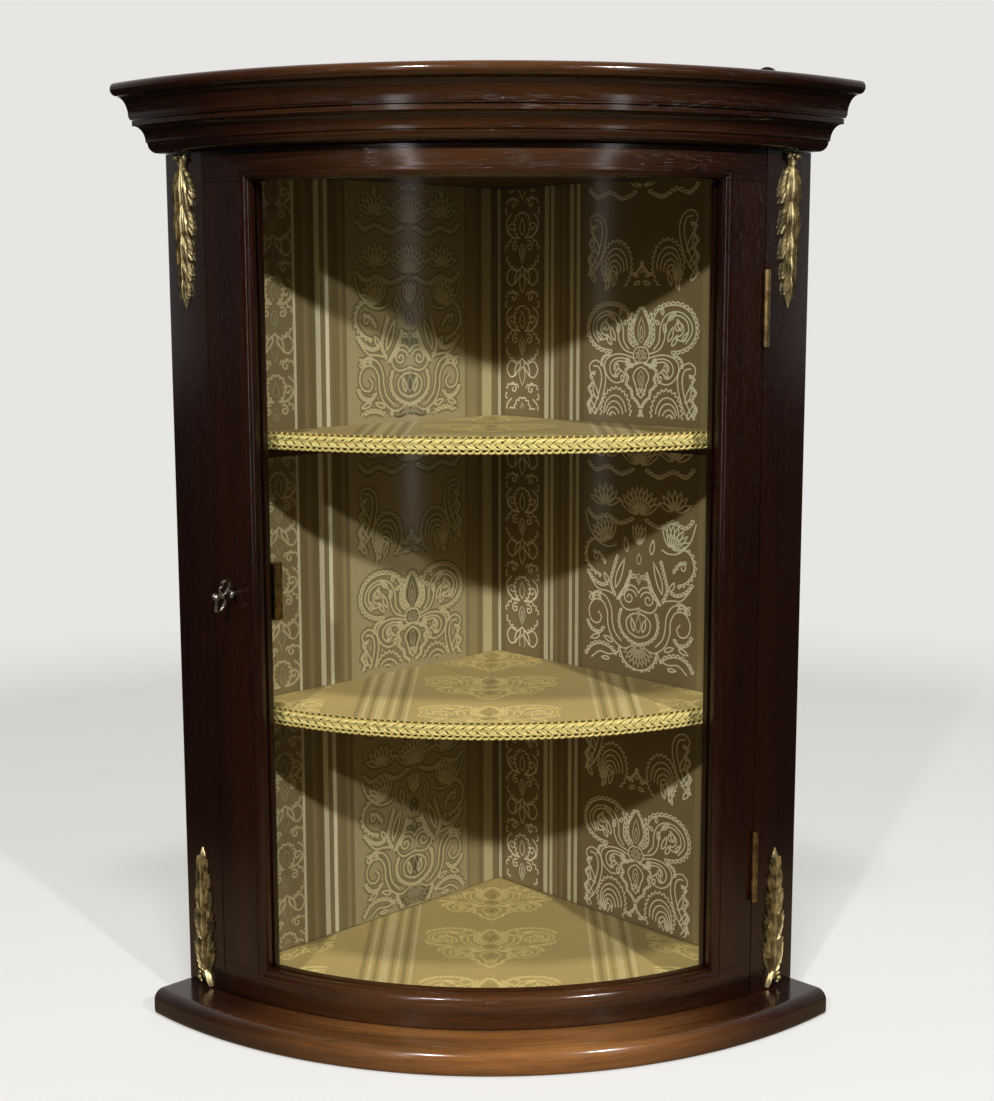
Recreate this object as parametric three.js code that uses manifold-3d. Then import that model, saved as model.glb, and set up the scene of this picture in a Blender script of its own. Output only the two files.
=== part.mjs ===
// Bow-fronted corner display cabinet of mahogany, with one curved glass door, in millimetres, +Z up.
// The plan is a quarter circle struck from the back corner, and the front faces -Y. Angles are measured
// at that corner from the middle of the front, positive towards the right of someone who faces it.
import * as THREE from 'three';
import { mergeVertices } from 'three/addons/utils/BufferGeometryUtils.js';
import Module from 'manifold-3d';

const wasm = await Module();
wasm.setup();

// Driving sizes of the whole cabinet
const totalHeight = 760;
const carcaseRadius = 362;
const frontThickness = 20;
const corniceHeight = 51;
const facetsPerQuarter = 32;

// Clearances and the overrun of cuts
const clearance = 0.3;
const overrun = 2;

// Base board with its thumb moulding
const base = { projection: 37, thickness: 22, upperRound: 9, lowerRound: 5 };

// Cornice: cap board, cavetto moulding and lower moulding, from the top down
const cap = { projection: 49, thickness: 10 };
const cavetto = { height: 17, step: 32, rise: 1.5, foot: 33, reach: 10 };
const ogee = {
  ovolo: { start: 8, reach: 8.5, height: 7.5 },
  quirk: 1.5,
  hollow: { reach: 10.5, height: 12 },
  fillet: 1.6,
};
const corniceLap = 12;
const corniceBackThickness = 12;

// Carcase: boards of the two walls, stiles beside the door, floor and top boards
const leftWallThickness = 18;
const rightWallThickness = 9;
const wallBoardCount = 3;
const leftStileWidth = 46;
const rightStileWidth = 52;
const boardSetback = 4;
const floorThickness = 3.7;
const topBoardThickness = 12;

// Cloth linings on card
const wallLiningThickness = 2;
const clothThickness = 1;

// Shelves, the battens below them and the braid on their front edges
const shelf = { setback: 42, thickness: 10 };
const shelfTops = { lower: 257.2, upper: 484.7 };
const batten = { width: 10, height: 10, start: 45, setback: 20 };
const braid = { height: 16, thickness: 1.6, stand: 5 };

// Door frame, pane and glazing beads
const doorGap = 1;
const doorTopGap = 1;
const doorFootGap = 1.3;
const topRailHeight = 23.5;
const bottomRailHeight = 26.7;
const lockStileWidth = 44.5;
const hingeStileWidth = 40;
const sticking = { width: 7, quirk: 0.6 };
const rebate = { width: 8, depth: 10 };
const pane = { thickness: 3, cover: 7 };

// Butt hinges
const hinge = {
  height: 60,
  knuckles: 5,
  knuckleRadius: 2.9,
  pinRadius: 1.2,
  boreRadius: 1.5,
  proud: 2.5,
  leafWidth: 16,
  leafThickness: 1.5,
  topInset: 121,
  footInset: 110,
};

// Lock, key and keep
const lock = { height: 363, left: 20, right: 24, halfHeight: 23, depth: 9, wall: 1.5 };
const bolt = { length: 32, height: 10, thickness: 4, rise: 4, throw: 8, setIn: 0.5 };
const key = {
  shankRadius: 2,
  bitLength: 8,
  bitThickness: 1.8,
  collarRadius: 3.3,
  collarLength: 2.4,
  collarStand: 3.5,
  bowStand: 14.5,
  lobeHeight: 6.4,
  lobeRadius: 5.6,
  lobeWire: 1.25,
  tipStand: 21.5,
  tipRadius: 2.7,
};
const keep = { width: 14, height: 22, depth: 9.5, wall: 1, offset: 9.5 };

// Leaf mounts
const mount = { height: 121, width: 29, plate: 1.6, relief: 3.4, tiers: 5, ruffle: 1.6 };

// Hanging plates
const hanger = { width: 24, thickness: 2, lap: 48, rise: 19, eyeRadius: 4, screwRadius: 2 };
const hangerSetbacks = { left: 157, right: 46 };

// Sizes that follow from the driving ones
const quarter = Math.PI / 4;
const arcStep = Math.PI / 2 / facetsPerQuarter;
const frontInnerRadius = carcaseRadius - frontThickness;
const baseRadius = carcaseRadius + base.projection;
const capRadius = carcaseRadius + cap.projection;
const shelfRadius = carcaseRadius - shelf.setback;
const corniceFoot = totalHeight - corniceHeight;
const carcaseFoot = base.thickness + clearance;
const carcaseTop = corniceFoot - clearance;
const boardRadius = frontInnerRadius - boardSetback;
const doorFoot = base.thickness + doorFootGap;
const doorTop = corniceFoot - doorTopGap;
const doorHeight = doorTop - doorFoot;
const stileLeftEnd = -quarter + leftStileWidth / carcaseRadius;
const stileRightStart = quarter - rightStileWidth / carcaseRadius;
const doorLeft = stileLeftEnd + doorGap / carcaseRadius;
const doorRight = stileRightStart - doorGap / carcaseRadius;
const sightLeft = doorLeft + lockStileWidth / carcaseRadius;
const sightRight = doorRight - hingeStileWidth / carcaseRadius;
const sightFoot = bottomRailHeight;
const sightTop = doorHeight - topRailHeight;
const hingeAngle = stileRightStart - doorGap / 2 / carcaseRadius;
const hingeRadius = carcaseRadius + hinge.proud;
const lockAngle = (doorLeft + sightLeft) / 2;
const clothTop = carcaseFoot + floorThickness + clearance + clothThickness;
const liningFoot = clothTop + clearance;
const topBoardFoot = carcaseTop - topBoardThickness;
const leftLiningFace = leftWallThickness + clearance + wallLiningThickness;
const rightLiningFace = rightWallThickness + clearance + wallLiningThickness;

// Materials
function finish(color, roughness, metalness = 0) {
  return new THREE.MeshStandardMaterial({ color, roughness, metalness });
}
const mahogany = () => finish(0x2c110b, 0.22);
const backWood = () => finish(0x4a2a1a, 0.6);
const damask = () => finish(0x8d8252, 0.85);
const goldBraid = () => finish(0xcaa640, 0.6);
const giltBrass = () => finish(0x9a7b35, 0.35, 1);
const agedBrass = () => finish(0x6f5a33, 0.4, 1);
const darkIron = () => finish(0x3a352f, 0.5, 1);
const curvedGlass = () => {
  const material = finish(0xe8efe6, 0.05);
  material.transparent = true;
  material.opacity = 0.15;
  return material;
};

// Geometry helpers
function signedVolume(position, index) {
  const corner = [new THREE.Vector3(), new THREE.Vector3(), new THREE.Vector3()];
  let sum = 0;
  for (let i = 0; i < index.length; i += 3) {
    corner.forEach((point, k) => point.fromBufferAttribute(position, index[i + k]));
    sum += corner[0].dot(corner[1].clone().cross(corner[2]));
  }
  return sum / 6;
}

// Welds the points, drops triangles without area and turns the faces outwards
function closedGeometry(points, triangles) {
  const raw = new THREE.BufferGeometry();
  raw.setAttribute('position', new THREE.Float32BufferAttribute(points.flat(), 3));
  raw.setIndex(triangles.flat());
  const geometry = mergeVertices(raw);
  const index = geometry.getIndex().array;
  const kept = [];
  for (let i = 0; i < index.length; i += 3) {
    const [a, b, c] = index.slice(i, i + 3);
    if (a !== b && b !== c && c !== a) {
      kept.push(a, b, c);
    }
  }
  if (signedVolume(geometry.getAttribute('position'), kept) < 0) {
    kept.reverse();
  }
  geometry.setIndex(kept);
  geometry.computeVertexNormals();
  return geometry;
}

// The angles of the facets between two ends, on one grid for every curved piece
function stationsBetween(from, to) {
  const stations = [from];
  const nearest = arcStep / 4;
  for (let i = Math.ceil((from + nearest) / arcStep); i * arcStep < to - nearest; i += 1) {
    stations.push(i * arcStep);
  }
  stations.push(to);
  return stations;
}

function onArc(radius, angle, height = 0) {
  return [radius * Math.sin(angle), -radius * Math.cos(angle), height];
}

// A closed profile of [radius, height] points, carried round the corner from one angle to another
function arcSweep(profile, from, to) {
  const size = profile.length;
  const stations = stationsBetween(from, to);
  const points = stations.flatMap((angle) => profile.map(([radius, height]) => onArc(radius, angle, height)));
  const triangles = [];
  for (let i = 0; i + 1 < stations.length; i += 1) {
    for (let j = 0; j < size; j += 1) {
      const a = i * size + j;
      const b = i * size + ((j + 1) % size);
      triangles.push([a, b, b + size], [a, b + size, a + size]);
    }
  }
  const outline = profile.map(([radius, height]) => new THREE.Vector2(radius, height));
  const last = (stations.length - 1) * size;
  for (const [a, b, c] of THREE.ShapeUtils.triangulateShape(outline, [])) {
    triangles.push([a, c, b], [last + a, last + b, last + c]);
  }
  return closedGeometry(points, triangles);
}

function rectangle(inner, outer, foot, top) {
  return [[inner, foot], [outer, foot], [outer, top], [inner, top]];
}

// Points of an elliptical arc in a profile; the angles are in quarter turns
function arcPoints(centre, reach, rise, fromQuarter, toQuarter, steps) {
  const points = [];
  for (let i = 0; i <= steps; i += 1) {
    const turn = ((fromQuarter + ((toQuarter - fromQuarter) * i) / steps) * Math.PI) / 2;
    points.push([centre[0] + reach * Math.cos(turn), centre[1] + rise * Math.sin(turn)]);
  }
  return points;
}

function toSolid(geometry) {
  const bare = geometry.clone();
  bare.deleteAttribute('normal');
  bare.deleteAttribute('uv');
  const welded = mergeVertices(bare);
  const vertProperties = new Float32Array(welded.getAttribute('position').array);
  const triVerts = new Uint32Array(welded.getIndex().array);
  return new wasm.Manifold(new wasm.Mesh({ numProp: 3, vertProperties, triVerts }));
}

function toGeometry(solid) {
  const mesh = solid.getMesh();
  const geometry = new THREE.BufferGeometry();
  geometry.setAttribute('position', new THREE.BufferAttribute(mesh.vertProperties, 3));
  geometry.setIndex(new THREE.BufferAttribute(mesh.triVerts, 1));
  geometry.computeVertexNormals();
  return geometry;
}

function cut(geometry, ...cutters) {
  return toGeometry(cutters.reduce((solid, cutter) => solid.subtract(toSolid(cutter)), toSolid(geometry)));
}

function join(...geometries) {
  return toGeometry(geometries.map(toSolid).reduce((sum, solid) => sum.add(solid)));
}

function boxBetween([x0, x1], [y0, y1], [z0, z1]) {
  const box = new THREE.BoxGeometry(x1 - x0, y1 - y0, z1 - z0);
  return box.translate((x0 + x1) / 2, (y0 + y1) / 2, (z0 + z1) / 2);
}

// An upright cylinder, and one that lies along X
function uprightRod(radius, [z0, z1], x = 0, y = 0, sides = 16) {
  const rod = new THREE.CylinderGeometry(radius, radius, z1 - z0, sides);
  return rod.rotateX(Math.PI / 2).translate(x, y, (z0 + z1) / 2);
}
function lyingRod(radius, [x0, x1], sides = 16) {
  const rod = new THREE.CylinderGeometry(radius, radius, x1 - x0, sides);
  return rod.rotateZ(-Math.PI / 2).translate((x0 + x1) / 2, 0, 0);
}

function addMesh(parent, name, geometry, material, z = 0) {
  const mesh = new THREE.Mesh(geometry, material);
  mesh.name = name;
  mesh.position.z = z;
  parent.add(mesh);
  return mesh;
}

// A group on the arc: X points outwards, Y to the right along the arc, Z up
function arcGroup(parent, angle, z) {
  const group = new THREE.Group();
  group.rotation.z = angle - Math.PI / 2;
  group.position.z = z;
  parent.add(group);
  return group;
}

// Groups of the two walls: X runs from the corner to the front; the room side is +Y on the left wall
// and -Y on the right wall
function wallGroup(parent, side) {
  const group = new THREE.Group();
  group.rotation.z = side === 'left' ? -3 * quarter : -quarter;
  parent.add(group);
  return group;
}

const cabinet = new THREE.Group();
const plan = new THREE.Group();
plan.position.y = capRadius / 2;
cabinet.add(plan);

// The two walls: which way the inside lies, how thick they are and where their boards start
const walls = {
  left: {
    group: wallGroup(plan, 'left'),
    inward: 1,
    thickness: leftWallThickness,
    start: rightWallThickness + clearance,
    liningStart: rightLiningFace + clearance,
    liningFace: leftLiningFace,
  },
  right: {
    group: wallGroup(plan, 'right'),
    inward: -1,
    thickness: rightWallThickness,
    start: 0,
    liningStart: leftWallThickness + clearance,
    liningFace: rightLiningFace,
  },
};

// A board on a wall, between two depths measured inwards from the wall's outer face
function wallBoard(wall, [from, to], [depth0, depth1], [z0, z1]) {
  const depths = [wall.inward * depth0, wall.inward * depth1].sort((a, b) => a - b);
  return boxBetween([from, to], depths, [z0, z1]);
}

// How far along a wall a board reaches, at a given depth, before it meets a radius
function reachAlong(radius, depth) {
  return Math.sqrt(radius * radius - depth * depth);
}

// The plan of a board that fills the corner: two straight sides and the bow
function cornerBoard(leftInset, rightInset, radius, thickness) {
  const from = -quarter + Math.asin(leftInset / radius);
  const to = quarter - Math.asin(rightInset / radius);
  const corner = new THREE.Vector2(leftInset - rightInset, -leftInset - rightInset);
  corner.multiplyScalar(Math.SQRT1_2);
  const front = stationsBetween(from, to).map((angle) => new THREE.Vector2(...onArc(radius, angle)));
  const shape = new THREE.Shape([corner, ...front]);
  return new THREE.ExtrudeGeometry(shape, { depth: thickness, bevelEnabled: false });
}

// Base board
function baseProfile() {
  const { thickness, upperRound, lowerRound } = base;
  return [
    [0, 0],
    ...arcPoints([baseRadius - lowerRound, lowerRound], lowerRound, lowerRound, -1, 0, 3),
    ...arcPoints([baseRadius - upperRound, thickness - upperRound], upperRound, upperRound, 0, 1, 4),
    [0, thickness],
  ];
}
addMesh(plan, 'base_plinth', arcSweep(baseProfile(), -quarter, quarter), mahogany());

// Cornice
function capProfile() {
  const nose = cap.thickness / 2;
  const bow = arcPoints([capRadius - nose, nose], nose, nose, -1, 1, 6);
  return [[0, 0], ...bow, [0, cap.thickness]];
}
const corniceInner = frontInnerRadius - corniceLap;
const cavettoHeight = cavetto.height - clearance;
const ogeeHeight = corniceHeight - cap.thickness - cavetto.height - clearance;
function cavettoProfile() {
  const hollowHeight = cavettoHeight - cavetto.rise;
  const top = [carcaseRadius + cavetto.foot + cavetto.reach, cavetto.rise];
  return [
    [corniceInner, 0],
    [carcaseRadius + cavetto.step, 0],
    [carcaseRadius + cavetto.step, cavetto.rise],
    ...arcPoints(top, cavetto.reach, hollowHeight, 2, 1, 5),
    [corniceInner, cavettoHeight],
  ];
}
function ogeeProfile() {
  const { ovolo, quirk, hollow, fillet } = ogee;
  const hollowFoot = carcaseRadius + ovolo.start + ovolo.reach + quirk;
  const hollowTop = ovolo.height + hollow.height;
  const filletRadius = hollowFoot + hollow.reach + fillet;
  return [
    [corniceInner, 0],
    [carcaseRadius + ovolo.start, 0],
    ...arcPoints([carcaseRadius + ovolo.start, ovolo.height], ovolo.reach, ovolo.height, -1, 0, 4).slice(1),
    ...arcPoints([hollowFoot + hollow.reach, ovolo.height], hollow.reach, hollow.height, 2, 1, 5),
    [filletRadius, hollowTop],
    [filletRadius, ogeeHeight],
    [corniceInner, ogeeHeight],
  ];
}
const cavettoFoot = totalHeight - cap.thickness - cavetto.height;
const capFoot = totalHeight - cap.thickness;
addMesh(plan, 'cornice_cap', arcSweep(capProfile(), -quarter, quarter), mahogany(), capFoot);
addMesh(plan, 'cornice_cavetto', arcSweep(cavettoProfile(), -quarter, quarter), mahogany(), cavettoFoot);
addMesh(plan, 'cornice_ogee', arcSweep(ogeeProfile(), -quarter, quarter), mahogany(), corniceFoot);

for (const [side, wall] of Object.entries(walls)) {
  const along = [wall.start, corniceInner - clearance];
  const heights = [corniceFoot, capFoot - clearance];
  const start = side === 'left' ? corniceBackThickness + clearance : along[0];
  const board = wallBoard(wall, [start, along[1]], [0, corniceBackThickness], heights);
  addMesh(wall.group, `cornice_back_${side}`, board, backWood());
}

// Walls of upright boards
for (const [side, wall] of Object.entries(walls)) {
  const end = reachAlong(frontInnerRadius - clearance, wall.thickness);
  const width = (end - wall.start) / wallBoardCount;
  for (let i = 0; i < wallBoardCount; i += 1) {
    const from = wall.start + i * width;
    const to = from + width - (i + 1 < wallBoardCount ? clearance : 0);
    const board = wallBoard(wall, [from, to], [0, wall.thickness], [carcaseFoot, carcaseTop]);
    addMesh(wall.group, `wall_${side}_board_${i + 1}`, board, backWood());
  }
}

// Floor board, its cloth and the top board
const wallInsets = [leftWallThickness + clearance, rightWallThickness + clearance];
const floorBoard = cornerBoard(...wallInsets, boardRadius, floorThickness);
const floorCloth = cornerBoard(...wallInsets, boardRadius, clothThickness);
const topBoard = cornerBoard(...wallInsets, boardRadius, topBoardThickness);
addMesh(plan, 'floor_board', floorBoard, backWood(), carcaseFoot);
addMesh(plan, 'floor_cloth', floorCloth, damask(), clothTop - clothThickness);
addMesh(plan, 'top_board', topBoard, backWood(), topBoardFoot);

// Wall linings
for (const [side, wall] of Object.entries(walls)) {
  const depths = [wall.thickness + clearance, wall.liningFace];
  const end = reachAlong(boardRadius, wall.liningFace);
  const lining = wallBoard(wall, [wall.liningStart, end], depths, [liningFoot, topBoardFoot - clearance]);
  addMesh(wall.group, `lining_${side}`, lining, damask());
}

// Shelves with their cloth, braid and battens
const shelfInsets = [leftLiningFace + clearance, rightLiningFace + clearance];
const shelfFrom = -quarter + Math.asin(shelfInsets[0] / shelfRadius);
const shelfTo = quarter - Math.asin(shelfInsets[1] / shelfRadius);
for (const [place, level] of Object.entries(shelfTops)) {
  const board = cornerBoard(...shelfInsets, shelfRadius, shelf.thickness);
  addMesh(plan, `shelf_${place}`, board, mahogany(), level - shelf.thickness);
  const cloth = cornerBoard(...shelfInsets, shelfRadius, clothThickness);
  addMesh(plan, `shelf_cloth_${place}`, cloth, damask(), level + clearance);
  const braidInner = shelfRadius + clearance;
  const band = rectangle(braidInner, braidInner + braid.thickness, 0, braid.height);
  const braidFoot = level + clearance + clothThickness + braid.stand - braid.height;
  addMesh(plan, `braid_${place}`, arcSweep(band, shelfFrom, shelfTo), goldBraid(), braidFoot);
  for (const [side, wall] of Object.entries(walls)) {
    const top = level - shelf.thickness - clearance;
    const depths = [wall.liningFace + clearance, wall.liningFace + clearance + batten.width];
    const span = [batten.start, shelfRadius - batten.setback];
    const strip = wallBoard(wall, span, depths, [top - batten.height, top]);
    addMesh(wall.group, `batten_${side}_${place}`, strip, backWood());
  }
}

// A recess for a hinge leaf and its knuckle, for one stile edge, in the hinge's own directions
function hingeCutters(side, z) {
  const reach = doorGap / 2 + hinge.leafThickness + clearance;
  const half = hinge.height / 2 + clearance;
  const faces = side < 0 ? [-reach, doorGap] : [-doorGap, reach];
  const inner = hingeRadius - hinge.proud - hinge.leafWidth - clearance;
  const pocket = boxBetween([inner, carcaseRadius + overrun], faces, [z - half, z + half]);
  const groove = uprightRod(hinge.knuckleRadius + clearance, [z - half, z + half], hingeRadius);
  return [pocket, groove].map((cutter) => cutter.rotateZ(hingeAngle - Math.PI / 2));
}

// Carcase stiles beside the door; the right one is let in for the hinges
const hingeHeights = [doorTop - hinge.topInset, doorFoot + hinge.footInset];
const stileProfile = rectangle(frontInnerRadius, carcaseRadius, carcaseFoot, carcaseTop);
addMesh(plan, 'carcase_stile_left', arcSweep(stileProfile, -quarter, stileLeftEnd), mahogany());
const rightStile = cut(
  arcSweep(stileProfile, stileRightStart, quarter),
  ...hingeHeights.flatMap((z) => hingeCutters(1, z)),
);
addMesh(plan, 'carcase_stile_right', rightStile, mahogany());

// Door: everything on it hangs in one group whose foot is the door's foot
const door = new THREE.Group();
door.position.z = doorFoot;
plan.add(door);

// The void of the door's opening, lofted through steps of [radius, margin round the sight line]:
// first the moulded edge, mitred at the corners, then the rebate for the pane
function openingVoid() {
  const round = sticking.width - 2 * sticking.quirk;
  const face = carcaseRadius - sticking.quirk;
  const rebateRadius = carcaseRadius - rebate.depth;
  const ovolo = arcPoints([face - round, sticking.quirk + round], round, round, 0, -1, 4);
  const steps = [
    [carcaseRadius + overrun, sticking.width],
    [face, sticking.width],
    ...ovolo,
    [face - round, 0],
    [rebateRadius, 0],
    [rebateRadius, rebate.width],
    [frontInnerRadius - overrun, rebate.width],
  ];
  const inner = stationsBetween(sightLeft, sightRight).slice(1, -1);
  const count = inner.length + 2;
  const points = steps.flatMap(([radius, margin]) => {
    const swing = margin / carcaseRadius;
    const angles = [sightLeft - swing, ...inner, sightRight + swing];
    const foot = angles.map((angle) => onArc(radius, angle, sightFoot - margin));
    const top = angles.map((angle) => onArc(radius, angle, sightTop + margin));
    return [...foot, ...top.reverse()];
  });
  const size = 2 * count;
  const triangles = [];
  for (let i = 0; i + 1 < steps.length; i += 1) {
    for (let j = 0; j < size; j += 1) {
      const a = i * size + j;
      const b = i * size + ((j + 1) % size);
      triangles.push([a, b, b + size], [a, b + size, a + size]);
    }
  }
  const last = (steps.length - 1) * size;
  for (let j = 0; j + 1 < count; j += 1) {
    const [a, b, c, d] = [j, j + 1, size - 2 - j, size - 1 - j];
    triangles.push([a, c, b], [a, d, c], [last + a, last + b, last + c], [last + a, last + c, last + d]);
  }
  return closedGeometry(points, triangles);
}
const opening = openingVoid();

function frameBar(from, to, foot, top, ...cutters) {
  const blank = arcSweep(rectangle(frontInnerRadius, carcaseRadius, foot, top), from, to);
  return cut(blank, opening, ...cutters);
}

// The keyhole through the lock stile: a round hole with a slot below it for the bit
const lockHeight = lock.height - doorFoot;
function keyholeCutters() {
  const depths = [frontInnerRadius - overrun, carcaseRadius + overrun];
  const halfSlot = key.bitThickness / 2 + clearance;
  const eye = lyingRod(key.shankRadius + clearance, depths).translate(0, 0, lockHeight);
  const slot = boxBetween(depths, [-halfSlot, halfSlot], [lockHeight - key.bitLength - clearance, lockHeight]);
  return [eye, slot].map((cutter) => cutter.rotateZ(lockAngle - Math.PI / 2));
}

addMesh(door, 'door_rail_top', frameBar(doorLeft, doorRight, sightTop, doorHeight), mahogany());
addMesh(door, 'door_rail_bottom', frameBar(doorLeft, doorRight, 0, sightFoot), mahogany());
const stileHeights = [sightFoot + clearance, sightTop - clearance];
const lockStile = frameBar(doorLeft, sightLeft, ...stileHeights, ...keyholeCutters());
addMesh(door, 'door_stile_lock', lockStile, mahogany());
const doorHingeHeights = hingeHeights.map((z) => z - doorFoot);
const hingeStile = frameBar(
  sightRight,
  doorRight,
  ...stileHeights,
  ...doorHingeHeights.flatMap((z) => hingeCutters(-1, z)),
);
addMesh(door, 'door_stile_hinge', hingeStile, mahogany());

// Pane of curved glass, and the four beads that hold it from inside
const paneOuter = carcaseRadius - rebate.depth - clearance;
const paneSwing = pane.cover / carcaseRadius;
const paneHeights = [sightFoot - pane.cover, sightTop + pane.cover];
const paneProfile = rectangle(paneOuter - pane.thickness, paneOuter, ...paneHeights);
const paneSheet = arcSweep(paneProfile, sightLeft - paneSwing, sightRight + paneSwing);
addMesh(door, 'door_glass', paneSheet, curvedGlass());

const beadOuter = paneOuter - pane.thickness - clearance;
const beadWidth = rebate.width - clearance;
const beadSwing = beadWidth / carcaseRadius;
function glazingBead(from, to, foot, top) {
  return arcSweep(rectangle(frontInnerRadius, beadOuter, foot, top), from, to);
}
const beadSpan = [sightLeft - beadSwing, sightRight + beadSwing];
const beadHeights = [sightFoot + clearance, sightTop - clearance];
addMesh(door, 'bead_top', glazingBead(...beadSpan, sightTop, sightTop + beadWidth), mahogany());
addMesh(door, 'bead_bottom', glazingBead(...beadSpan, sightFoot - beadWidth, sightFoot), mahogany());
addMesh(door, 'bead_left', glazingBead(beadSpan[0], sightLeft, ...beadHeights), mahogany());
addMesh(door, 'bead_right', glazingBead(sightRight, beadSpan[1], ...beadHeights), mahogany());

// Butt hinges: the knuckles of the two leaves take turns along the pin
function hingeLeaf(side, first) {
  const half = hinge.height / 2;
  const pitch = hinge.height / hinge.knuckles;
  const near = side * (doorGap / 2);
  const far = side * (doorGap / 2 + hinge.leafThickness);
  const faces = side < 0 ? [far, near] : [near, far];
  const inner = hingeRadius - hinge.proud - hinge.leafWidth;
  const plateEnd = hingeRadius - hinge.knuckleRadius - clearance;
  const pieces = [boxBetween([inner, plateEnd], faces, [-half, half])];
  for (let i = first; i < hinge.knuckles; i += 2) {
    const reach = [-half + i * pitch + clearance / 2, -half + (i + 1) * pitch - clearance / 2];
    pieces.push(boxBetween([inner + hinge.leafThickness, hingeRadius], faces, reach));
    pieces.push(uprightRod(hinge.knuckleRadius, reach, hingeRadius));
  }
  const bore = uprightRod(hinge.boreRadius, [-half - overrun, half + overrun], hingeRadius);
  return cut(join(...pieces), bore);
}
const hingePlaces = ['upper', 'lower'];
hingePlaces.forEach((place, i) => {
  const onCarcase = arcGroup(plan, hingeAngle, hingeHeights[i]);
  addMesh(onCarcase, `hinge_leaf_carcase_${place}`, hingeLeaf(1, 0), agedBrass());
  const pin = uprightRod(hinge.pinRadius, [-hinge.height / 2, hinge.height / 2], hingeRadius);
  addMesh(onCarcase, `hinge_pin_${place}`, pin, agedBrass());
  const onDoor = arcGroup(door, hingeAngle, doorHingeHeights[i]);
  addMesh(onDoor, `hinge_leaf_door_${place}`, hingeLeaf(-1, 1), agedBrass());
});

// Lock case on the back of the lock stile: a tray, open towards the stile, with a slot for the bolt
const lockGroup = arcGroup(door, lockAngle, lockHeight);
const caseFace = reachAlong(frontInnerRadius, lock.right) - clearance;
const caseBack = caseFace - lock.depth;
const boltMiddle = caseFace - (lock.depth - lock.wall) / 2;
const boltDepths = [boltMiddle - bolt.thickness / 2, boltMiddle + bolt.thickness / 2];
function lockCase() {
  const heights = [-lock.halfHeight, lock.halfHeight];
  const body = boxBetween([caseBack, caseFace], [-lock.left, lock.right], heights);
  const room = boxBetween(
    [caseBack + lock.wall, caseFace + overrun],
    [-lock.left + lock.wall, lock.right - lock.wall],
    [-lock.halfHeight + lock.wall, lock.halfHeight - lock.wall],
  );
  const mouth = boxBetween(
    [boltDepths[0] - clearance, boltDepths[1] + clearance],
    [-lock.left - overrun, -lock.left + lock.wall + overrun],
    [bolt.rise - clearance, bolt.rise + bolt.height + clearance],
  );
  return cut(body, room, mouth);
}
addMesh(lockGroup, 'lock_case', lockCase(), agedBrass());

// The bolt rests drawn back; its foot is cut away over the circle that the key's bit sweeps
const boltTip = -lock.left + bolt.setIn;
function lockBolt() {
  const bar = boxBetween(boltDepths, [boltTip, boltTip + bolt.length], [bolt.rise, bolt.rise + bolt.height]);
  const sweep = key.bitLength + clearance;
  const room = [boltDepths[0] - overrun, boltDepths[1] + overrun];
  const talon = boxBetween(room, [-sweep, sweep + bolt.throw], [bolt.rise - overrun, sweep]);
  return cut(bar, talon);
}
addMesh(lockGroup, 'lock_bolt', lockBolt(), agedBrass());

// Key: shank, bit, collar and a bow of two lobes that meet at a ball
function keySolid() {
  const foot = caseBack + lock.wall + clearance;
  const bowPlace = carcaseRadius + key.bowStand;
  const tipPlace = carcaseRadius + key.tipStand;
  const collar = carcaseRadius + key.collarStand;
  const pieces = [
    lyingRod(key.shankRadius, [foot, tipPlace], 12),
    boxBetween(boltDepths, [-key.bitThickness / 2, key.bitThickness / 2], [-key.bitLength, 0]),
    lyingRod(key.collarRadius, [collar, collar + key.collarLength], 12),
    new THREE.SphereGeometry(key.tipRadius, 10, 8).translate(tipPlace, 0, 0),
  ];
  for (const up of [-1, 1]) {
    const lobe = new THREE.TorusGeometry(key.lobeRadius, key.lobeWire, 6, 18);
    pieces.push(lobe.rotateX(Math.PI / 2).translate(bowPlace, 0, up * key.lobeHeight));
  }
  return join(...pieces);
}
addMesh(lockGroup, 'key', keySolid(), agedBrass());

// Keep on the back of the left carcase stile: a staple whose mouth faces the bolt
function keepSolid() {
  const face = reachAlong(frontInnerRadius, keep.width / 2) - clearance;
  const half = keep.height / 2;
  const body = boxBetween([face - keep.depth, face], [-keep.width / 2, keep.width / 2], [-half, half]);
  const pocket = boxBetween(
    [face - keep.depth + keep.wall, face - keep.wall],
    [-keep.width / 2 + keep.wall, keep.width / 2 + overrun],
    [-half + keep.wall, half - keep.wall],
  );
  return cut(body, pocket);
}
const keepAngle = stileLeftEnd - keep.offset / carcaseRadius;
const keepGroup = arcGroup(plan, keepAngle, lock.height + bolt.rise + bolt.height / 2);
addMesh(keepGroup, 'lock_keep', keepSolid(), agedBrass());

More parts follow.
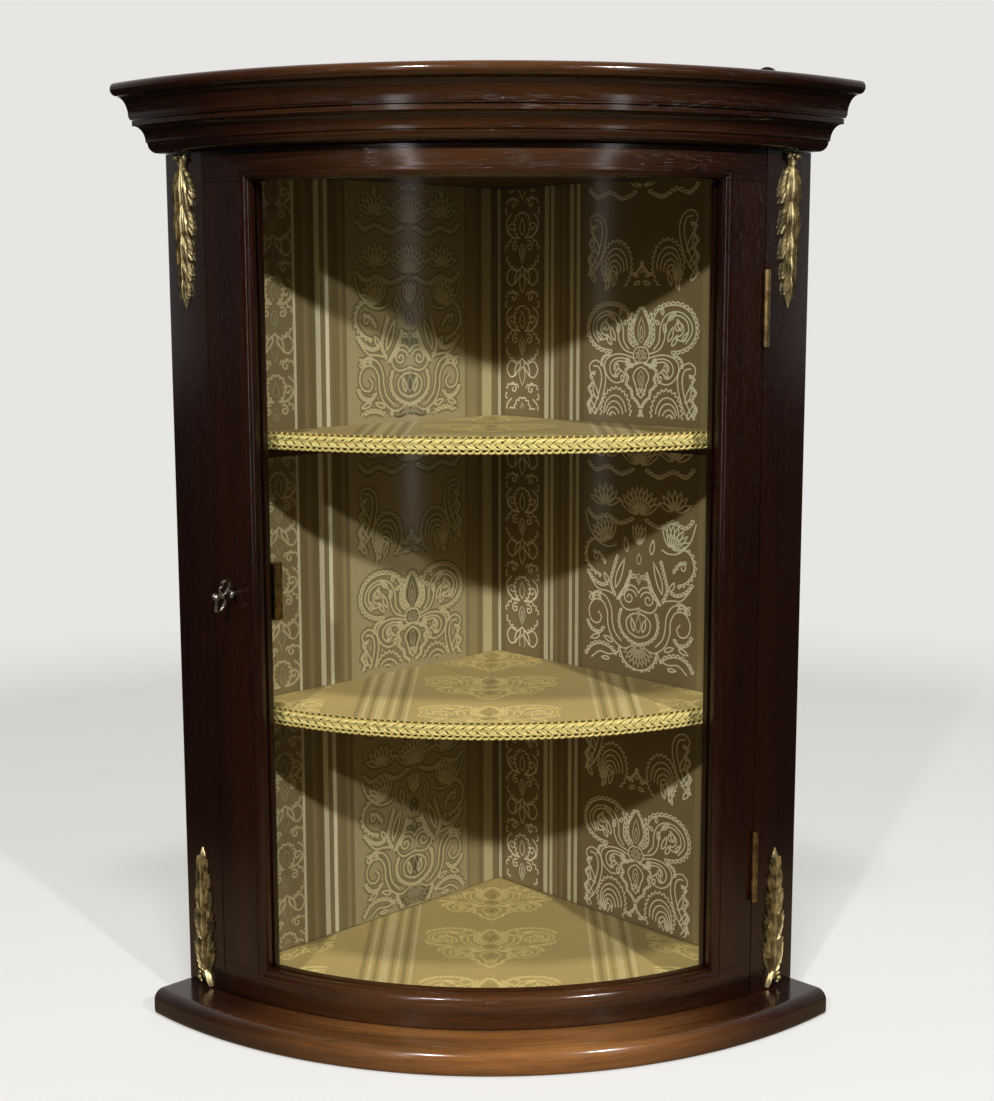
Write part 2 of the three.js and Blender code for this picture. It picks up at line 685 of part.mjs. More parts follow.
// Leaf mounts: a ruffled plate that tapers to a point, under tiers of leaves with a knot at the root
const mountTaperShares = [0.5, 0.78, 0.86, 0.72, 0.56, 0.42, 0.12];
function mountHalfWidth(share) {
  const place = share * (mountTaperShares.length - 1);
  const i = Math.min(Math.floor(place), mountTaperShares.length - 2);
  const blend = place - i;
  return (mount.width / 2) * (mountTaperShares[i] * (1 - blend) + mountTaperShares[i + 1] * blend);
}
function mountPlate() {
  const edge = [];
  const steps = mount.tiers * 4;
  for (let i = 0; i <= steps; i += 1) {
    const share = i / steps;
    const ruffle = mount.ruffle * (i % 4 === 0 ? -1 : (i % 4) / 3);
    edge.push(new THREE.Vector2(mountHalfWidth(share) + ruffle * (1 - share), -share * mount.height));
  }
  const mirrored = edge.map((point) => new THREE.Vector2(-point.x, point.y)).reverse();
  const shape = new THREE.Shape([...edge, ...mirrored]);
  const plate = new THREE.ExtrudeGeometry(shape, { depth: mount.plate, bevelEnabled: false });
  const upright = new THREE.Matrix4().makeBasis(
    new THREE.Vector3(0, 1, 0),
    new THREE.Vector3(0, 0, 1),
    new THREE.Vector3(1, 0, 0),
  );
  return plate.applyMatrix4(upright);
}
const leafLengthShare = 0.3;
const leafWidthShare = 0.36;
const leafSpreadShare = 0.42;
const knotShare = 0.17;
function mountLeaf(y, z, halfWidth, halfLength, tilt) {
  const leaf = new THREE.SphereGeometry(1, 6, 5).scale(mount.relief, halfWidth, halfLength);
  return leaf.rotateX(tilt).translate(mount.plate, y, z);
}
function leafMount() {
  const pieces = [mountPlate()];
  for (let i = 0; i < mount.tiers; i += 1) {
    const share = (i + 0.5) / mount.tiers;
    const reach = mountHalfWidth(share);
    const halfLength = mount.height * Math.min(leafLengthShare / 2, 1 - share);
    const z = -share * mount.height;
    for (const side of [-1, 1]) {
      const tilt = side * (Math.PI / 14);
      pieces.push(mountLeaf(side * reach * leafSpreadShare, z, reach * leafWidthShare, halfLength, tilt));
    }
    pieces.push(mountLeaf(0, z - halfLength / 4, reach * leafWidthShare, (halfLength * 3) / 4, 0));
  }
  const knot = mount.width * knotShare;
  for (const side of [-1, 1]) {
    pieces.push(mountLeaf(side * knot, -knot, knot, knot, 0));
  }
  const far = 2 * mount.height;
  const behind = boxBetween([-far, 0], [-far, far], [-far, far]);
  const pastRoot = boxBetween([-far, far], [-far, far], [0, far]);
  return cut(join(...pieces), behind, pastRoot);
}
const mountSides = {
  left: (-quarter + stileLeftEnd) / 2,
  right: (quarter + stileRightStart) / 2,
};
const mountBack = carcaseRadius + clearance;
for (const [side, angle] of Object.entries(mountSides)) {
  const top = arcGroup(plan, angle, corniceFoot - clearance);
  addMesh(top, `leaf_mount_top_${side}`, leafMount(), giltBrass()).position.x = mountBack;
  const foot = arcGroup(plan, angle, base.thickness + clearance);
  const lower = addMesh(foot, `leaf_mount_foot_${side}`, leafMount(), giltBrass());
  lower.position.x = mountBack;
  lower.rotation.x = Math.PI;
}

// Hanging plates on the outside of the walls, with an eye that stands above the cornice
function hangingPlate() {
  const radius = hanger.width / 2;
  const shape = new THREE.Shape();
  shape.moveTo(-radius, -hanger.lap);
  shape.lineTo(radius, -hanger.lap);
  shape.lineTo(radius, hanger.rise - radius);
  shape.absarc(0, hanger.rise - radius, radius, 0, Math.PI);
  shape.closePath();
  const screwPlaces = [-hanger.lap + radius, -hanger.lap / 3];
  const holes = [[hanger.rise - radius, hanger.eyeRadius]];
  screwPlaces.forEach((place) => holes.push([place, hanger.screwRadius]));
  for (const [place, holeRadius] of holes) {
    shape.holes.push(new THREE.Path().absarc(0, place, holeRadius, 0, 2 * Math.PI));
  }
  const options = { depth: hanger.thickness, bevelEnabled: false, curveSegments: 8 };
  return new THREE.ExtrudeGeometry(shape, options).rotateX(Math.PI / 2);
}
for (const [side, wall] of Object.entries(walls)) {
  const plate = addMesh(wall.group, `hanging_plate_${side}`, hangingPlate(), darkIron(), totalHeight);
  const outside = side === 'left' ? -clearance : clearance + hanger.thickness;
  plate.position.set(carcaseRadius - hangerSetbacks[side], outside, totalHeight);
}

export default cabinet;
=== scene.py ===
# %% [markdown]
# A bow-fronted corner cabinet of mahogany, with one curved glass door. It stands in the corner of a room,
# so its plan is a quarter of a circle struck from the back corner, and nearly every visible piece is either
# swept round that corner or laid against one of the two straight walls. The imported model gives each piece
# its size and place. This file dresses it: smooth mouldings, polished wood, woven cloth, gimp braid, cast
# leaf mounts and bent glass. Lengths are typed in millimetres, and MM turns them into metres.

# %% The fixed frame
import math

import bmesh
import bpy
from mathutils import Matrix, Vector, noise


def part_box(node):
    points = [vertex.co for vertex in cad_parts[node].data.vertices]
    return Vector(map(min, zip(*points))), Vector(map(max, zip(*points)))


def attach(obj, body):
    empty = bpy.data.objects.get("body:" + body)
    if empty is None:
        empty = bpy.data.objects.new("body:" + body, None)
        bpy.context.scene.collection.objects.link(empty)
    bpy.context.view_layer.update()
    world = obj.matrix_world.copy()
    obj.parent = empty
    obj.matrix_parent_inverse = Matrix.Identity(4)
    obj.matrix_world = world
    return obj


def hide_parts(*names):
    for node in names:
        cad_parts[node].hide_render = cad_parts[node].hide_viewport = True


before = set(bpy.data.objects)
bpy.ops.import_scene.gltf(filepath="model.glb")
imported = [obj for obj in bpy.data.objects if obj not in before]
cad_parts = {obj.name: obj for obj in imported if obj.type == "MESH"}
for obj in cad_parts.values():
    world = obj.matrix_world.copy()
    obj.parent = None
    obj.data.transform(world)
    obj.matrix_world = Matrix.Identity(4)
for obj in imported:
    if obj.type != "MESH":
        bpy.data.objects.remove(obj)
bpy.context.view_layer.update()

MM = 0.001

# %% [markdown]
# The camera looks down a little from in front. A drum seen from there shows its top edges as arches and its
# base as a bowl, so the camera's height and tilt were worked out from how strongly those edges bend. Its
# lens comes from the same fit: 1669 pixels of focal length on a picture 1101 pixels high, where Blender
# spreads its 36 mm sensor over the longer side.

# %% Camera
PICTURE_HEIGHT = 1101
FOCAL_PIXELS = 1669
camera_data = bpy.data.cameras.new("camera")
camera_data.lens = 36 * FOCAL_PIXELS / PICTURE_HEIGHT
camera = bpy.data.objects.new("camera", camera_data)
bpy.context.scene.collection.objects.link(camera)


def aim(place, yaw, pitch, roll):
    """Puts the camera at a place in mm; yaw turns it right, pitch tips it down, roll leans it to one side."""
    forward = Vector((math.sin(yaw) * math.cos(pitch), math.cos(yaw) * math.cos(pitch), -math.sin(pitch)))
    level = Vector((math.cos(yaw), -math.sin(yaw), 0))
    upright = level.cross(forward)
    right = math.cos(roll) * level + math.sin(roll) * upright
    up = math.cos(roll) * upright - math.sin(roll) * level
    turned = Matrix((right, up, -forward)).transposed().to_4x4()
    camera.matrix_world = Matrix.Translation(Vector(place) * MM) @ turned


aim(place=(15, -1405.5, 594.7), yaw=-0.0062, pitch=0.1495, roll=-0.0022)
bpy.context.scene.camera = camera
bpy.context.scene.view_settings.view_transform = "Standard"
print("lens in mm:", round(camera_data.lens, 2))

# %% [markdown]
# A material is a small calculation on each point of the surface. Wiring it by hand hides the arithmetic, so
# one small class stands for an output socket and lets the sums be written as sums: adding, subtracting,
# multiplying or dividing two of them lays down the Math node that does it. Everything that isn't plain
# arithmetic comes from one method, which takes the node's type, its settings and what its sockets receive.

# %% Sums on sockets
class Wire:
    """An output socket of a finish, usable in Python sums."""

    def __init__(self, finish, socket):
        self.finish = finish
        self.socket = socket

    def math(self, operation, *others):
        """A Math node that this wire enters first."""
        return self.finish.node("Math", {"operation": operation}, dict(enumerate((self, *others))))

    def __add__(self, other):
        return self.math("ADD", other)

    def __sub__(self, other):
        return self.math("SUBTRACT", other)

    def __rsub__(self, other):
        return self.finish.node("Math", {"operation": "SUBTRACT"}, {0: other, 1: self})

    def __mul__(self, other):
        return self.math("MULTIPLY", other)

    def __truediv__(self, other):
        return self.math("DIVIDE", other)

    def __pow__(self, other):
        return self.math("POWER", other)

    __radd__ = __add__
    __rmul__ = __mul__

    def larger(self, other):
        return self.math("MAXIMUM", other)

    def wave(self):
        """The sine of this value, moved to lie between 0 and 1."""
        return self.math("SINE") * 0.5 + 0.5

    def ramp(self, low, high, curve="SMOOTHSTEP"):
        """0 below low, 1 above high, and a rise between; low may be the larger, for a fall."""
        settings = {"interpolation_type": curve}
        return self.finish.node("MapRange", settings, {"Value": self, "From Min": low, "From Max": high})


class Finish:
    """A material in the making, with one method that adds any node."""

    def __init__(self, name):
        self.material = bpy.data.materials.new(name)
        self.wire_up(self.material, "Principled BSDF", "Material Output")

    def wire_up(self, owner, shader, output):
        owner.use_nodes = True
        self.tree = owner.node_tree
        self.shader = self.tree.nodes[shader]
        self.lit = Wire(self, self.shader.outputs[0])
        self.output = self.tree.nodes[output]

    def node(self, kind, settings, sockets, output=0):
        made = self.tree.nodes.new("ShaderNode" + kind)
        for name, value in settings.items():
            setattr(made, name, value)
        for name, value in sockets.items():
            self.feed(made.inputs[name], value)
        return Wire(self, made.outputs[output])

    def feed(self, socket, value):
        if isinstance(value, Wire):
            self.tree.links.new(value.socket, socket)
        else:
            socket.default_value = value

    def set(self, **sockets):
        """Sets or links sockets of the shader; an underscore stands for the space in a socket's name."""
        for name, value in sockets.items():
            self.feed(self.shader.inputs[name.replace("_", " ")], value)

    def show(self, share, first, second):
        """The surface shows a mix of two shaders; share 0 gives the first."""
        self.feed(self.output.inputs["Surface"], self.blend(share, first, second))

    def blend(self, share, first, second):
        return self.node("MixShader", {}, {0: share, 1: first, 2: second})

    def glow(self, kind, color):
        return self.node(kind, {}, {"Color": color if isinstance(color, Wire) else (*color, 1)})

    def ray(self, kind):
        """1 where the picture is made by a ray of this kind."""
        return self.node("LightPath", {}, {}, output=f"Is {kind} Ray")

    def vector(self, x, y, z):
        return self.node("CombineXYZ", {}, {0: x, 1: y, 2: z})

    def mix(self, share, first, second):
        """Blends two colours; share 0 gives the first."""
        first, second = [value if isinstance(value, Wire) else (*value, 1) for value in (first, second)]
        return self.node("Mix", {"data_type": "RGBA"}, {0: share, 6: first, 7: second}, output=2)

    def steps(self, value, steps):
        """Colours that don't blend, from (place, colour) pairs."""
        wire = self.node("ValToRGB", {}, {0: value})
        ramp = wire.socket.node.color_ramp
        ramp.interpolation = "CONSTANT"
        while len(ramp.elements) < len(steps):
            ramp.elements.new(0.5)
        for element, (place, color) in zip(ramp.elements, steps):
            element.position = place
            element.color = (*color, 1)
        return wire

    def speckle(self, place, scale, detail=3.0, roughness=0.5):
        """Cloudy noise between 0 and 1."""
        sockets = {"Vector": place, "Scale": scale, "Detail": detail, "Roughness": roughness}
        return self.node("TexNoise", {}, sockets, output="Fac")

    def relief(self, height, distance, strength=1.0):
        """Turns a height of 0 to 1 into bumps as tall as distance, in metres."""
        return self.node("Bump", {}, {"Height": height, "Distance": distance, "Strength": strength})


class Sky(Finish):
    """The world's light, wired like a finish."""

    def __init__(self, world):
        self.wire_up(world, "Background", "World Output")


print("Wire and Finish are ready")

# %% [markdown]
# Grain has to follow the piece that it is in: round the bow in the cornice, base and rails, straight up in
# the stiles, along each wall in the boards. Texture space is therefore built from the object's own
# coordinates, in millimetres, measured from the back corner: the distance along the bow, the distance from
# the corner, and the depth in from each wall. The pieces keep these coordinates when the door swings, so
# the grain stays put.

# %% Coordinates of the cabinet
CORNER_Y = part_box("cornice_cap")[1].y / MM
BOW = 362
DIAGONAL = math.sqrt(0.5)


class Place:
    """Where a point of the surface is, in mm: x, y from the corner, z, round the bow and along the walls."""

    def __init__(self, finish):
        self.finish = finish
        spot = finish.node("TexCoord", {}, {}, output="Object")
        axes = finish.node("SeparateXYZ", {}, {0: spot})
        self.x, y, self.z = [Wire(finish, output) / MM for output in axes.socket.node.outputs]
        self.front = CORNER_Y - y
        self.radius = (self.x * self.x + self.front * self.front) ** 0.5
        self.bow = self.x.math("ARCTAN2", self.front) * BOW
        self.along_left = (self.front - self.x) * DIAGONAL
        self.along_right = (self.front + self.x) * DIAGONAL

    def cloud(self, scale, detail=3.0, roughness=0.5):
        """Noise in plain space."""
        return self.finish.speckle(self.finish.vector(self.x, self.front, self.z), scale, detail, roughness)

    def bow_cloud(self, scale):
        """Noise in the space of the bow."""
        return self.finish.speckle(self.finish.vector(self.bow, self.radius, self.z), scale)


print("back corner at y =", round(CORNER_Y, 2), "mm")

# %% [markdown]
# The light is a plain studio with two lamps in front, both about 29 degrees up, one 31 degrees to the right
# and one 17 degrees to the left. The shade that the top of the door throws on the two linings has a double
# edge, and those two directions explain both edges on both walls. A third lamp overhead clears the cornice
# and reaches the fronts of the floor and the lower shelf. The world fills in the rest: faintly from the
# front, so that the shade inside stays deep, and more from behind, so that the boards there are seen. Two
# narrow upright strips draw the long glints that bowed, polished fronts are known for. What the camera, the
# polish and the glass see behind the cabinet is a pale tone that is kept apart from the light itself.
# Towards the front the polish sees it dimmer, as in any studio, so dark wood isn't washed out, and the
# light that the floor throws back up is that of the warm table on which the cabinet was photographed.

# %% Lamps
LAMP_TARGET_HEIGHT = 380
LAMPS = {  # name: degrees to the right, degrees up, distance, width and height in mm, power in watts
    "key_right": (30.8, 28.4, 3200, 100, 100, 66),
    "key_left": (-17.2, 28.9, 3200, 100, 100, 56),
    "top_lamp": (0, 66, 2400, 220, 220, 32),
    "strip_left": (-22, 1, 3000, 190, 1900, 6.5),
    "strip_right": (32, 1, 3000, 150, 1900, 4.5),
}
for name, (side, rise, distance, width, height, power) in LAMPS.items():
    lamp_data = bpy.data.lights.new(name, "AREA")
    lamp_data.shape = "RECTANGLE"
    lamp_data.size = width * MM
    lamp_data.size_y = height * MM
    lamp_data.energy = power
    lamp = bpy.data.objects.new(name, lamp_data)
    bpy.context.scene.collection.objects.link(lamp)
    side, rise = math.radians(side), math.radians(rise)
    towards = Vector((math.sin(side) * math.cos(rise), -math.cos(side) * math.cos(rise), math.sin(rise)))
    lamp.location = Vector((0, 0, LAMP_TARGET_HEIGHT * MM)) + towards * distance * MM
    lamp.rotation_euler = towards.to_track_quat("Z", "Y").to_euler()
    lamp.visible_camera = False
    lamp.visible_diffuse = not name.startswith("strip")
    lamp.visible_glossy = name != "top_lamp"
print("lamps:", sorted(LAMPS))

# %% World
PALE = (0.80, 0.79, 0.77)
DIM = (0.036, 0.029, 0.025)
FILL_FROM_FRONT = (0.05, 0.037, 0.024)
FILL_FROM_BEHIND = (0.32, 0.305, 0.28)
world = bpy.data.worlds.new("studio")
bpy.context.scene.world = world
sky = Sky(world)
direction = sky.node("TexCoord", {}, {}, output="Generated")
behind = sky.node("SeparateXYZ", {}, {0: direction}, output="Y").ramp(-0.3, 0.5, "LINEAR")
sky.set(Color=sky.mix(behind, FILL_FROM_FRONT, FILL_FROM_BEHIND))
seen = sky.glow("Background", sky.mix(behind.larger(sky.ray("Camera")), DIM, PALE))
sky.show(sky.ray("Camera").larger(sky.ray("Glossy")).larger(sky.ray("Transmission")), sky.lit, seen)
print("world: faint in front, pale behind")

# %% Floor
FLOOR_RADIUS = 12
WARM_BOUNCE = (0.36, 0.27, 0.17)
LEAST_LIFT = 0.58
paper = Finish("floor_paper")
spot = paper.node("TexCoord", {}, {}, output="Object")
away = paper.node("VectorMath", {"operation": "LENGTH"}, {0: spot}, output="Value")
white = paper.mix(paper.speckle(spot, 40.0), (0.80, 0.79, 0.77), (0.83, 0.82, 0.80))
table = paper.mix(away.ramp(0.4, 0.8), WARM_BOUNCE, DIM)
paper.set(Base_Color=paper.mix(paper.ray("Camera"), table, white), Roughness=0.9, Specular_IOR_Level=0.1)
near = paper.blend(paper.ray("Glossy") * away.ramp(0.35, 1.1), paper.lit, paper.glow("Emission", DIM))
lift = away.ramp(0.5, 1.8).larger(LEAST_LIFT) * paper.ray("Camera")
paper.show(lift, near, paper.glow("Emission", PALE))
bpy.ops.mesh.primitive_circle_add(vertices=96, radius=FLOOR_RADIUS, fill_type="NGON", location=(0, 0, 0))
floor = bpy.context.object
floor.name = "floor"
floor.data.materials.append(paper.material)
print("floor radius in m:", FLOOR_RADIUS)

# %% [markdown]
# French-polished mahogany is nearly black where the polish is thick, and here it turns golden brown towards
# the middle of the cornice and of the base. Towards both ends of the bow it is also painted darker, as
# painted shade where the front turns away from the lamps. Up close there are three scales: broad dark and
# light ribbons, fibres a few millimetres wide that run with the grain, and short dark pores. Each is cloudy
# noise in the same stretched space, long with the grain and narrow across it.

# %% Mahogany
NIGHT = (0.0075, 0.0022, 0.0011)
CHERRY = (0.040, 0.0105, 0.0040)
HONEY = (0.30, 0.125, 0.034)
PORE = (0.004, 0.0015, 0.001)


def mahogany(name, upright=False, golden_middle=0.0, tone=0.5):
    """Grain round the bow or upright, with painted shade at the bow's ends; the third argument is the golden
    middle.
    """
    finish = Finish(name)
    place = Place(finish)
    along, across = (place.z, place.bow) if upright else (place.bow, place.z)
    space = finish.vector(along * 0.02, across * 0.3, place.radius * 0.3)
    ribbon = finish.speckle(space, 0.16, detail=4.0)
    fibre = finish.speckle(space, 1.3, detail=5.0, roughness=0.62)
    pore_space = finish.vector(along * 0.09, across * 2.6, place.radius * 2.6)
    pore = finish.speckle(pore_space, 1.0, detail=1.0).ramp(0.62, 0.70)
    reach = place.bow.math("ABSOLUTE")
    grain_with_end_shade = ribbon.ramp(0.30, 0.72) * 0.6 + fibre.ramp(0.35, 0.70) * 0.4
    # painted shade: the grain is darkened towards both ends of the bow, where the front turns away from the
    # lamps
    grain_with_end_shade = grain_with_end_shade * (0.25 + reach.ramp(290, 150) * 0.75)
    wood = finish.mix(grain_with_end_shade * (tone * 2), NIGHT, CHERRY)
    patch = reach.ramp(230, 30) * (0.35 + ribbon.ramp(0.25, 0.75)) * (0.4 + fibre) * golden_middle
    wood = finish.mix(pore * 0.6, finish.mix(patch, wood, HONEY), PORE)
    smear = place.bow_cloud(0.022)
    finish.set(Base_Color=wood, Roughness=0.09 + smear * 0.12 + pore * 0.2, Specular_IOR_Level=0.42)
    finish.set(Normal=finish.relief(fibre * 0.5 - pore, 0.00008, strength=0.5))
    return finish.material


CORNICE_WOOD = mahogany("mahogany_cornice", golden_middle=0.13, tone=0.34)
BASE_WOOD = mahogany("mahogany_base", golden_middle=0.78)
RAIL_WOOD = mahogany("mahogany_rail", golden_middle=0.16, tone=0.36)
STILE_WOOD = mahogany("mahogany_stile", upright=True, tone=0.26)
print("mahogany finishes: cornice, base, rail and stile")

# %% [markdown]
# Every member of the front is a straight moulding bent round the corner. On the bench it would be sawn to
# the curve and run along a router table; here its cross section, a list of [distance from the corner,
# height], is carried round in steps of at most 0.6 degrees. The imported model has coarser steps, so the new
# pieces fall on the old surfaces, with rounder curves. A narrow bevel takes the sharpness off each
# arris, because it is the bevel that catches the light on real woodwork. A shape is a pair of points, in mm
# from the back corner, and faces. Nearly every one is a row of rings, each joined to the next.

# %% Shapes
QUARTER = math.pi / 4  # half of the plan's quarter circle, left or right of the middle
SWEEP_STEP = math.radians(0.6)


def polar(radius, angle, height):
    """A point in mm from the back corner; the angle is from the middle of the front, to the right."""
    return (radius * math.sin(angle), -radius * math.cos(angle), height)


def rightwards(angle):
    """The way to the right along the bow at an angle."""
    return Vector((math.cos(angle), math.sin(angle), 0))


def wheel(count):
    """Angles of a full turn in equal steps."""
    return [2 * math.pi * k / count for k in range(count)]


def spread(start, end, step):
    """Evenly spaced values from start to end, no further apart than step."""
    count = max(1, math.ceil(abs(end - start) / step))
    return [start + (end - start) * i / count for i in range(count + 1)]


def joined(rings, closed=False):
    """A shape over rings of points. The last ring meets the first if closed, or else both ends are capped."""
    size = len(rings[0])
    faces = []
    for i in range(len(rings) - (not closed)):
        a, b = i * size, (i + 1) % len(rings) * size
        for j in range(size):
            k = (j + 1) % size
            faces.append((a + j, a + k, b + k, b + j))
    if not closed:
        last = size * (len(rings) - 1)
        faces += [tuple(range(size)), tuple(range(last, last + size))]
    return [point for ring in rings for point in ring], faces


def gather(shapes):
    """One shape from many."""
    points, faces = [], []
    for some_points, some_faces in shapes:
        faces += [tuple(k + len(points) for k in face) for face in some_faces]
        points += some_points
    return points, faces


def block(place, *spans):
    """A box with three pairs of limits, whose corners place turns into points."""
    points = [place(a, b, c) for a in spans[0] for b in spans[1] for c in spans[2]]
    return points, [(0, 1, 3, 2), (4, 6, 7, 5), (0, 4, 5, 1), (2, 3, 7, 6), (0, 2, 6, 4), (1, 5, 7, 3)]


def turned_block(angle, height, outward, sideways, upward):
    """A box turned to an angle of the bow."""
    out, right = Vector(polar(1, angle, 0)), rightwards(angle)

    def place(x, y, z):
        return tuple(out * x + right * y + Vector((0, 0, z + height)))

    return block(place, outward, sideways, upward)


def rod(start, end, radius):
    """A cylinder between two points in mm."""
    start, end = Vector(start), Vector(end)
    turn = (end - start).to_track_quat("Z", "Y")
    rim = [turn @ Vector((radius * math.cos(spin), radius * math.sin(spin), 0)) for spin in wheel(32)]
    return joined([[tuple(foot + spot) for spot in rim] for foot in (start, end)])


def swept(profile, start, end):
    """A closed [radius, height] profile carried round the corner."""
    angles = spread(start, end, SWEEP_STEP)
    return joined([[polar(radius, angle, height) for radius, height in profile] for angle in angles])


def hollow(centre, reach, rise, start, end, steps=10):
    """Points on part of an ellipse in a profile; angles in quarter turns."""
    turns = [(start + (end - start) * i / steps) * math.pi / 2 for i in range(steps + 1)]
    return [[centre[0] + reach * math.cos(turn), centre[1] + rise * math.sin(turn)] for turn in turns]


# %% A piece and its finish
def mesh_piece(name, shape):
    """A mesh object of a shape, with its faces outwards."""
    points, faces = shape
    mesh = bpy.data.meshes.new(name)
    mesh.from_pydata([(x * MM, (y + CORNER_Y) * MM, z * MM) for x, y, z in points], [], faces)
    mesh.validate()
    face_outwards(mesh)
    piece = bpy.data.objects.new(name, mesh)
    bpy.context.scene.collection.objects.link(piece)
    return piece


def face_outwards(mesh):
    shell = bmesh.new()
    shell.from_mesh(mesh)
    bmesh.ops.recalc_face_normals(shell, faces=shell.faces)
    shell.to_mesh(mesh)
    shell.free()


def solid(name, shape, finish, body, stands_for=(), soften=0.0, crease=38):
    """Adds a closed shape, finished, and lets it ride on a body."""
    return dress(mesh_piece(name, shape), finish, body, stands_for, soften, crease)


def dress(piece, finish, body, stands_for=(), soften=0.0, crease=38):
    """Finishes a mesh: outward faces, soft arrises, smooth curves, material and body; hides what it stands
    for.
    """
    face_outwards(piece.data)
    if soften:
        bevel = piece.modifiers.new("arris", "BEVEL")
        bevel.width = soften * MM
        bevel.segments = 2
        bevel.limit_method = "ANGLE"
        bevel.angle_limit = math.radians(crease)
        apply_modifiers(piece)
    piece.data.shade_smooth()
    piece.data.set_sharp_from_angle(angle=math.radians(crease))
    weigh = piece.modifiers.new("flat_faces_stay_flat", "WEIGHTED_NORMAL")
    weigh.keep_sharp = True
    weigh.weight = 100
    apply_modifiers(piece)
    piece.data.materials.clear()
    piece.data.materials.append(finish)
    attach(piece, body)
    if stands_for:
        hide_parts(*stands_for)
    return piece


def apply_modifiers(piece):
    """Replaces the mesh by what its modifiers make of it."""
    bpy.context.view_layer.update()
    seen_by = bpy.context.evaluated_depsgraph_get()
    made = bpy.data.meshes.new_from_object(piece.evaluated_get(seen_by))
    piece.modifiers.clear()
    piece.data = made


print("helpers for bowed pieces are ready")

# %% [markdown]
# The base is one board with a thumb moulding: a large round above a small one. The cornice is three pieces
# laid over each other, a cap with a half-round nose, a hollow or cavetto, and a lower moulding that goes
# from an egg shape through a small step into a hollow. Seen from in front and above, each step between two
# curves shows as one dark line round the bow, so the steps matter more than the exact curves.

# %% Base and cornice
CAP_FOOT, CAP_TOP = 750, 760
CAVETTO_FOOT = 733
OGEE_FOOT = 709
base_profile = [[0, 0]] + hollow([394, 5], 5, 5, -1, 0) + hollow([390, 13], 9, 9, 0, 1) + [[0, 22]]
cap_profile = [[0, CAP_FOOT]] + hollow([406, CAP_FOOT + 5], 5, 5, -1, 1, 20) + [[0, CAP_TOP]]
cavetto_profile = [[330, CAVETTO_FOOT], [394, CAVETTO_FOOT], [394, CAVETTO_FOOT + 1.5]]
cavetto_profile += hollow([405, CAVETTO_FOOT + 1.5], 10, 15.2, 2, 1, 12) + [[330, CAVETTO_FOOT + 16.7]]
ogee_profile = [[330, OGEE_FOOT], [370, OGEE_FOOT]] + hollow([370, OGEE_FOOT + 7.5], 8.5, 7.5, -1, 0)[1:]
ogee_profile += hollow([390.5, OGEE_FOOT + 7.5], 10.5, 12, 2, 1, 12) + [[392.1, OGEE_FOOT + 19.5]]
ogee_profile += [[392.1, OGEE_FOOT + 23.7], [330, OGEE_FOOT + 23.7]]
for name, node, profile, finish, soften in (
    ("base_board", "base_plinth", base_profile, BASE_WOOD, 0.5),
    ("cornice_top", "cornice_cap", cap_profile, CORNICE_WOOD, 0.5),
    ("cornice_hollow", "cornice_cavetto", cavetto_profile, CORNICE_WOOD, 0.3),
    ("cornice_lower", "cornice_ogee", ogee_profile, CORNICE_WOOD, 0.3),
):
    solid(name, swept(profile, -QUARTER, QUARTER), finish, "carcase", [node], soften)
print("base and cornice, top at z =", CAP_TOP)

# %% [markdown]
# The door frame has two rails and two stiles whose inner edges carry a small round moulding, mitred at the
# corners, with a rebate behind it for the glass. The whole opening is one section carried round a rectangle
# that is itself wrapped on the bow, so the frame is built as nested rings, each ring a rectangle of angles
# and heights at its own radius. Cutting that body at the two sight lines then gives the four separate
# members, with mitres that meet exactly. Pockets for the hinges and the keyhole are cut afterwards.

# %% Sizes of the front
STILE_LEFT_END = -QUARTER + 46 / BOW
STILE_RIGHT_START = QUARTER - 52 / BOW
DOOR_LEFT = STILE_LEFT_END + 1 / BOW
DOOR_RIGHT = STILE_RIGHT_START - 1 / BOW
SIGHT_LEFT = DOOR_LEFT + 44.5 / BOW
SIGHT_RIGHT = DOOR_RIGHT - 40 / BOW
STILE_FOOT, STILE_TOP = 22.3, 708.7
DOOR_FOOT, DOOR_TOP = 23.3, 708
SIGHT_FOOT, SIGHT_TOP = 50.0, 684.5
BACK_RADIUS = 342
HINGE_ANGLE = STILE_RIGHT_START - 0.5 / BOW
HINGE_RADIUS = 364.5
HINGE_HEIGHTS = [587, 133.3]
HALF_POCKET = 30.3
LOCK_ANGLE = (DOOR_LEFT + SIGHT_LEFT) / 2
LOCK_HEIGHT = 363
print("door spans", [round(math.degrees(angle), 2) for angle in (DOOR_LEFT, DOOR_RIGHT)], "degrees")


# %% Cutting tools
def carve(piece, cutters):
    """Takes each shape out of a piece."""
    tools = [mesh_piece("cutter", shape) for shape in cutters]
    for tool in tools:
        cut = piece.modifiers.new("cut", "BOOLEAN")
        cut.operation = "DIFFERENCE"
        cut.solver = "EXACT"
        cut.object = tool
    apply_modifiers(piece)
    for tool in tools:
        bpy.data.objects.remove(tool)


def hinge_pockets(reach):
    """The recess for a leaf and the groove for the knuckles, over a reach to both sides of the gap."""
    cutters = []
    for height in HINGE_HEIGHTS:
        cutters.append(turned_block(HINGE_ANGLE, height, [345.7, 364], reach, [-HALF_POCKET, HALF_POCKET]))
        low, high = [polar(HINGE_RADIUS, HINGE_ANGLE, height + end) for end in (-HALF_POCKET, HALF_POCKET)]
        cutters.append(rod(low, high, 3.2))
    return cutters


def box_profile(inner, outer, foot, top):
    return [[inner, foot], [outer, foot], [outer, top], [inner, top]]


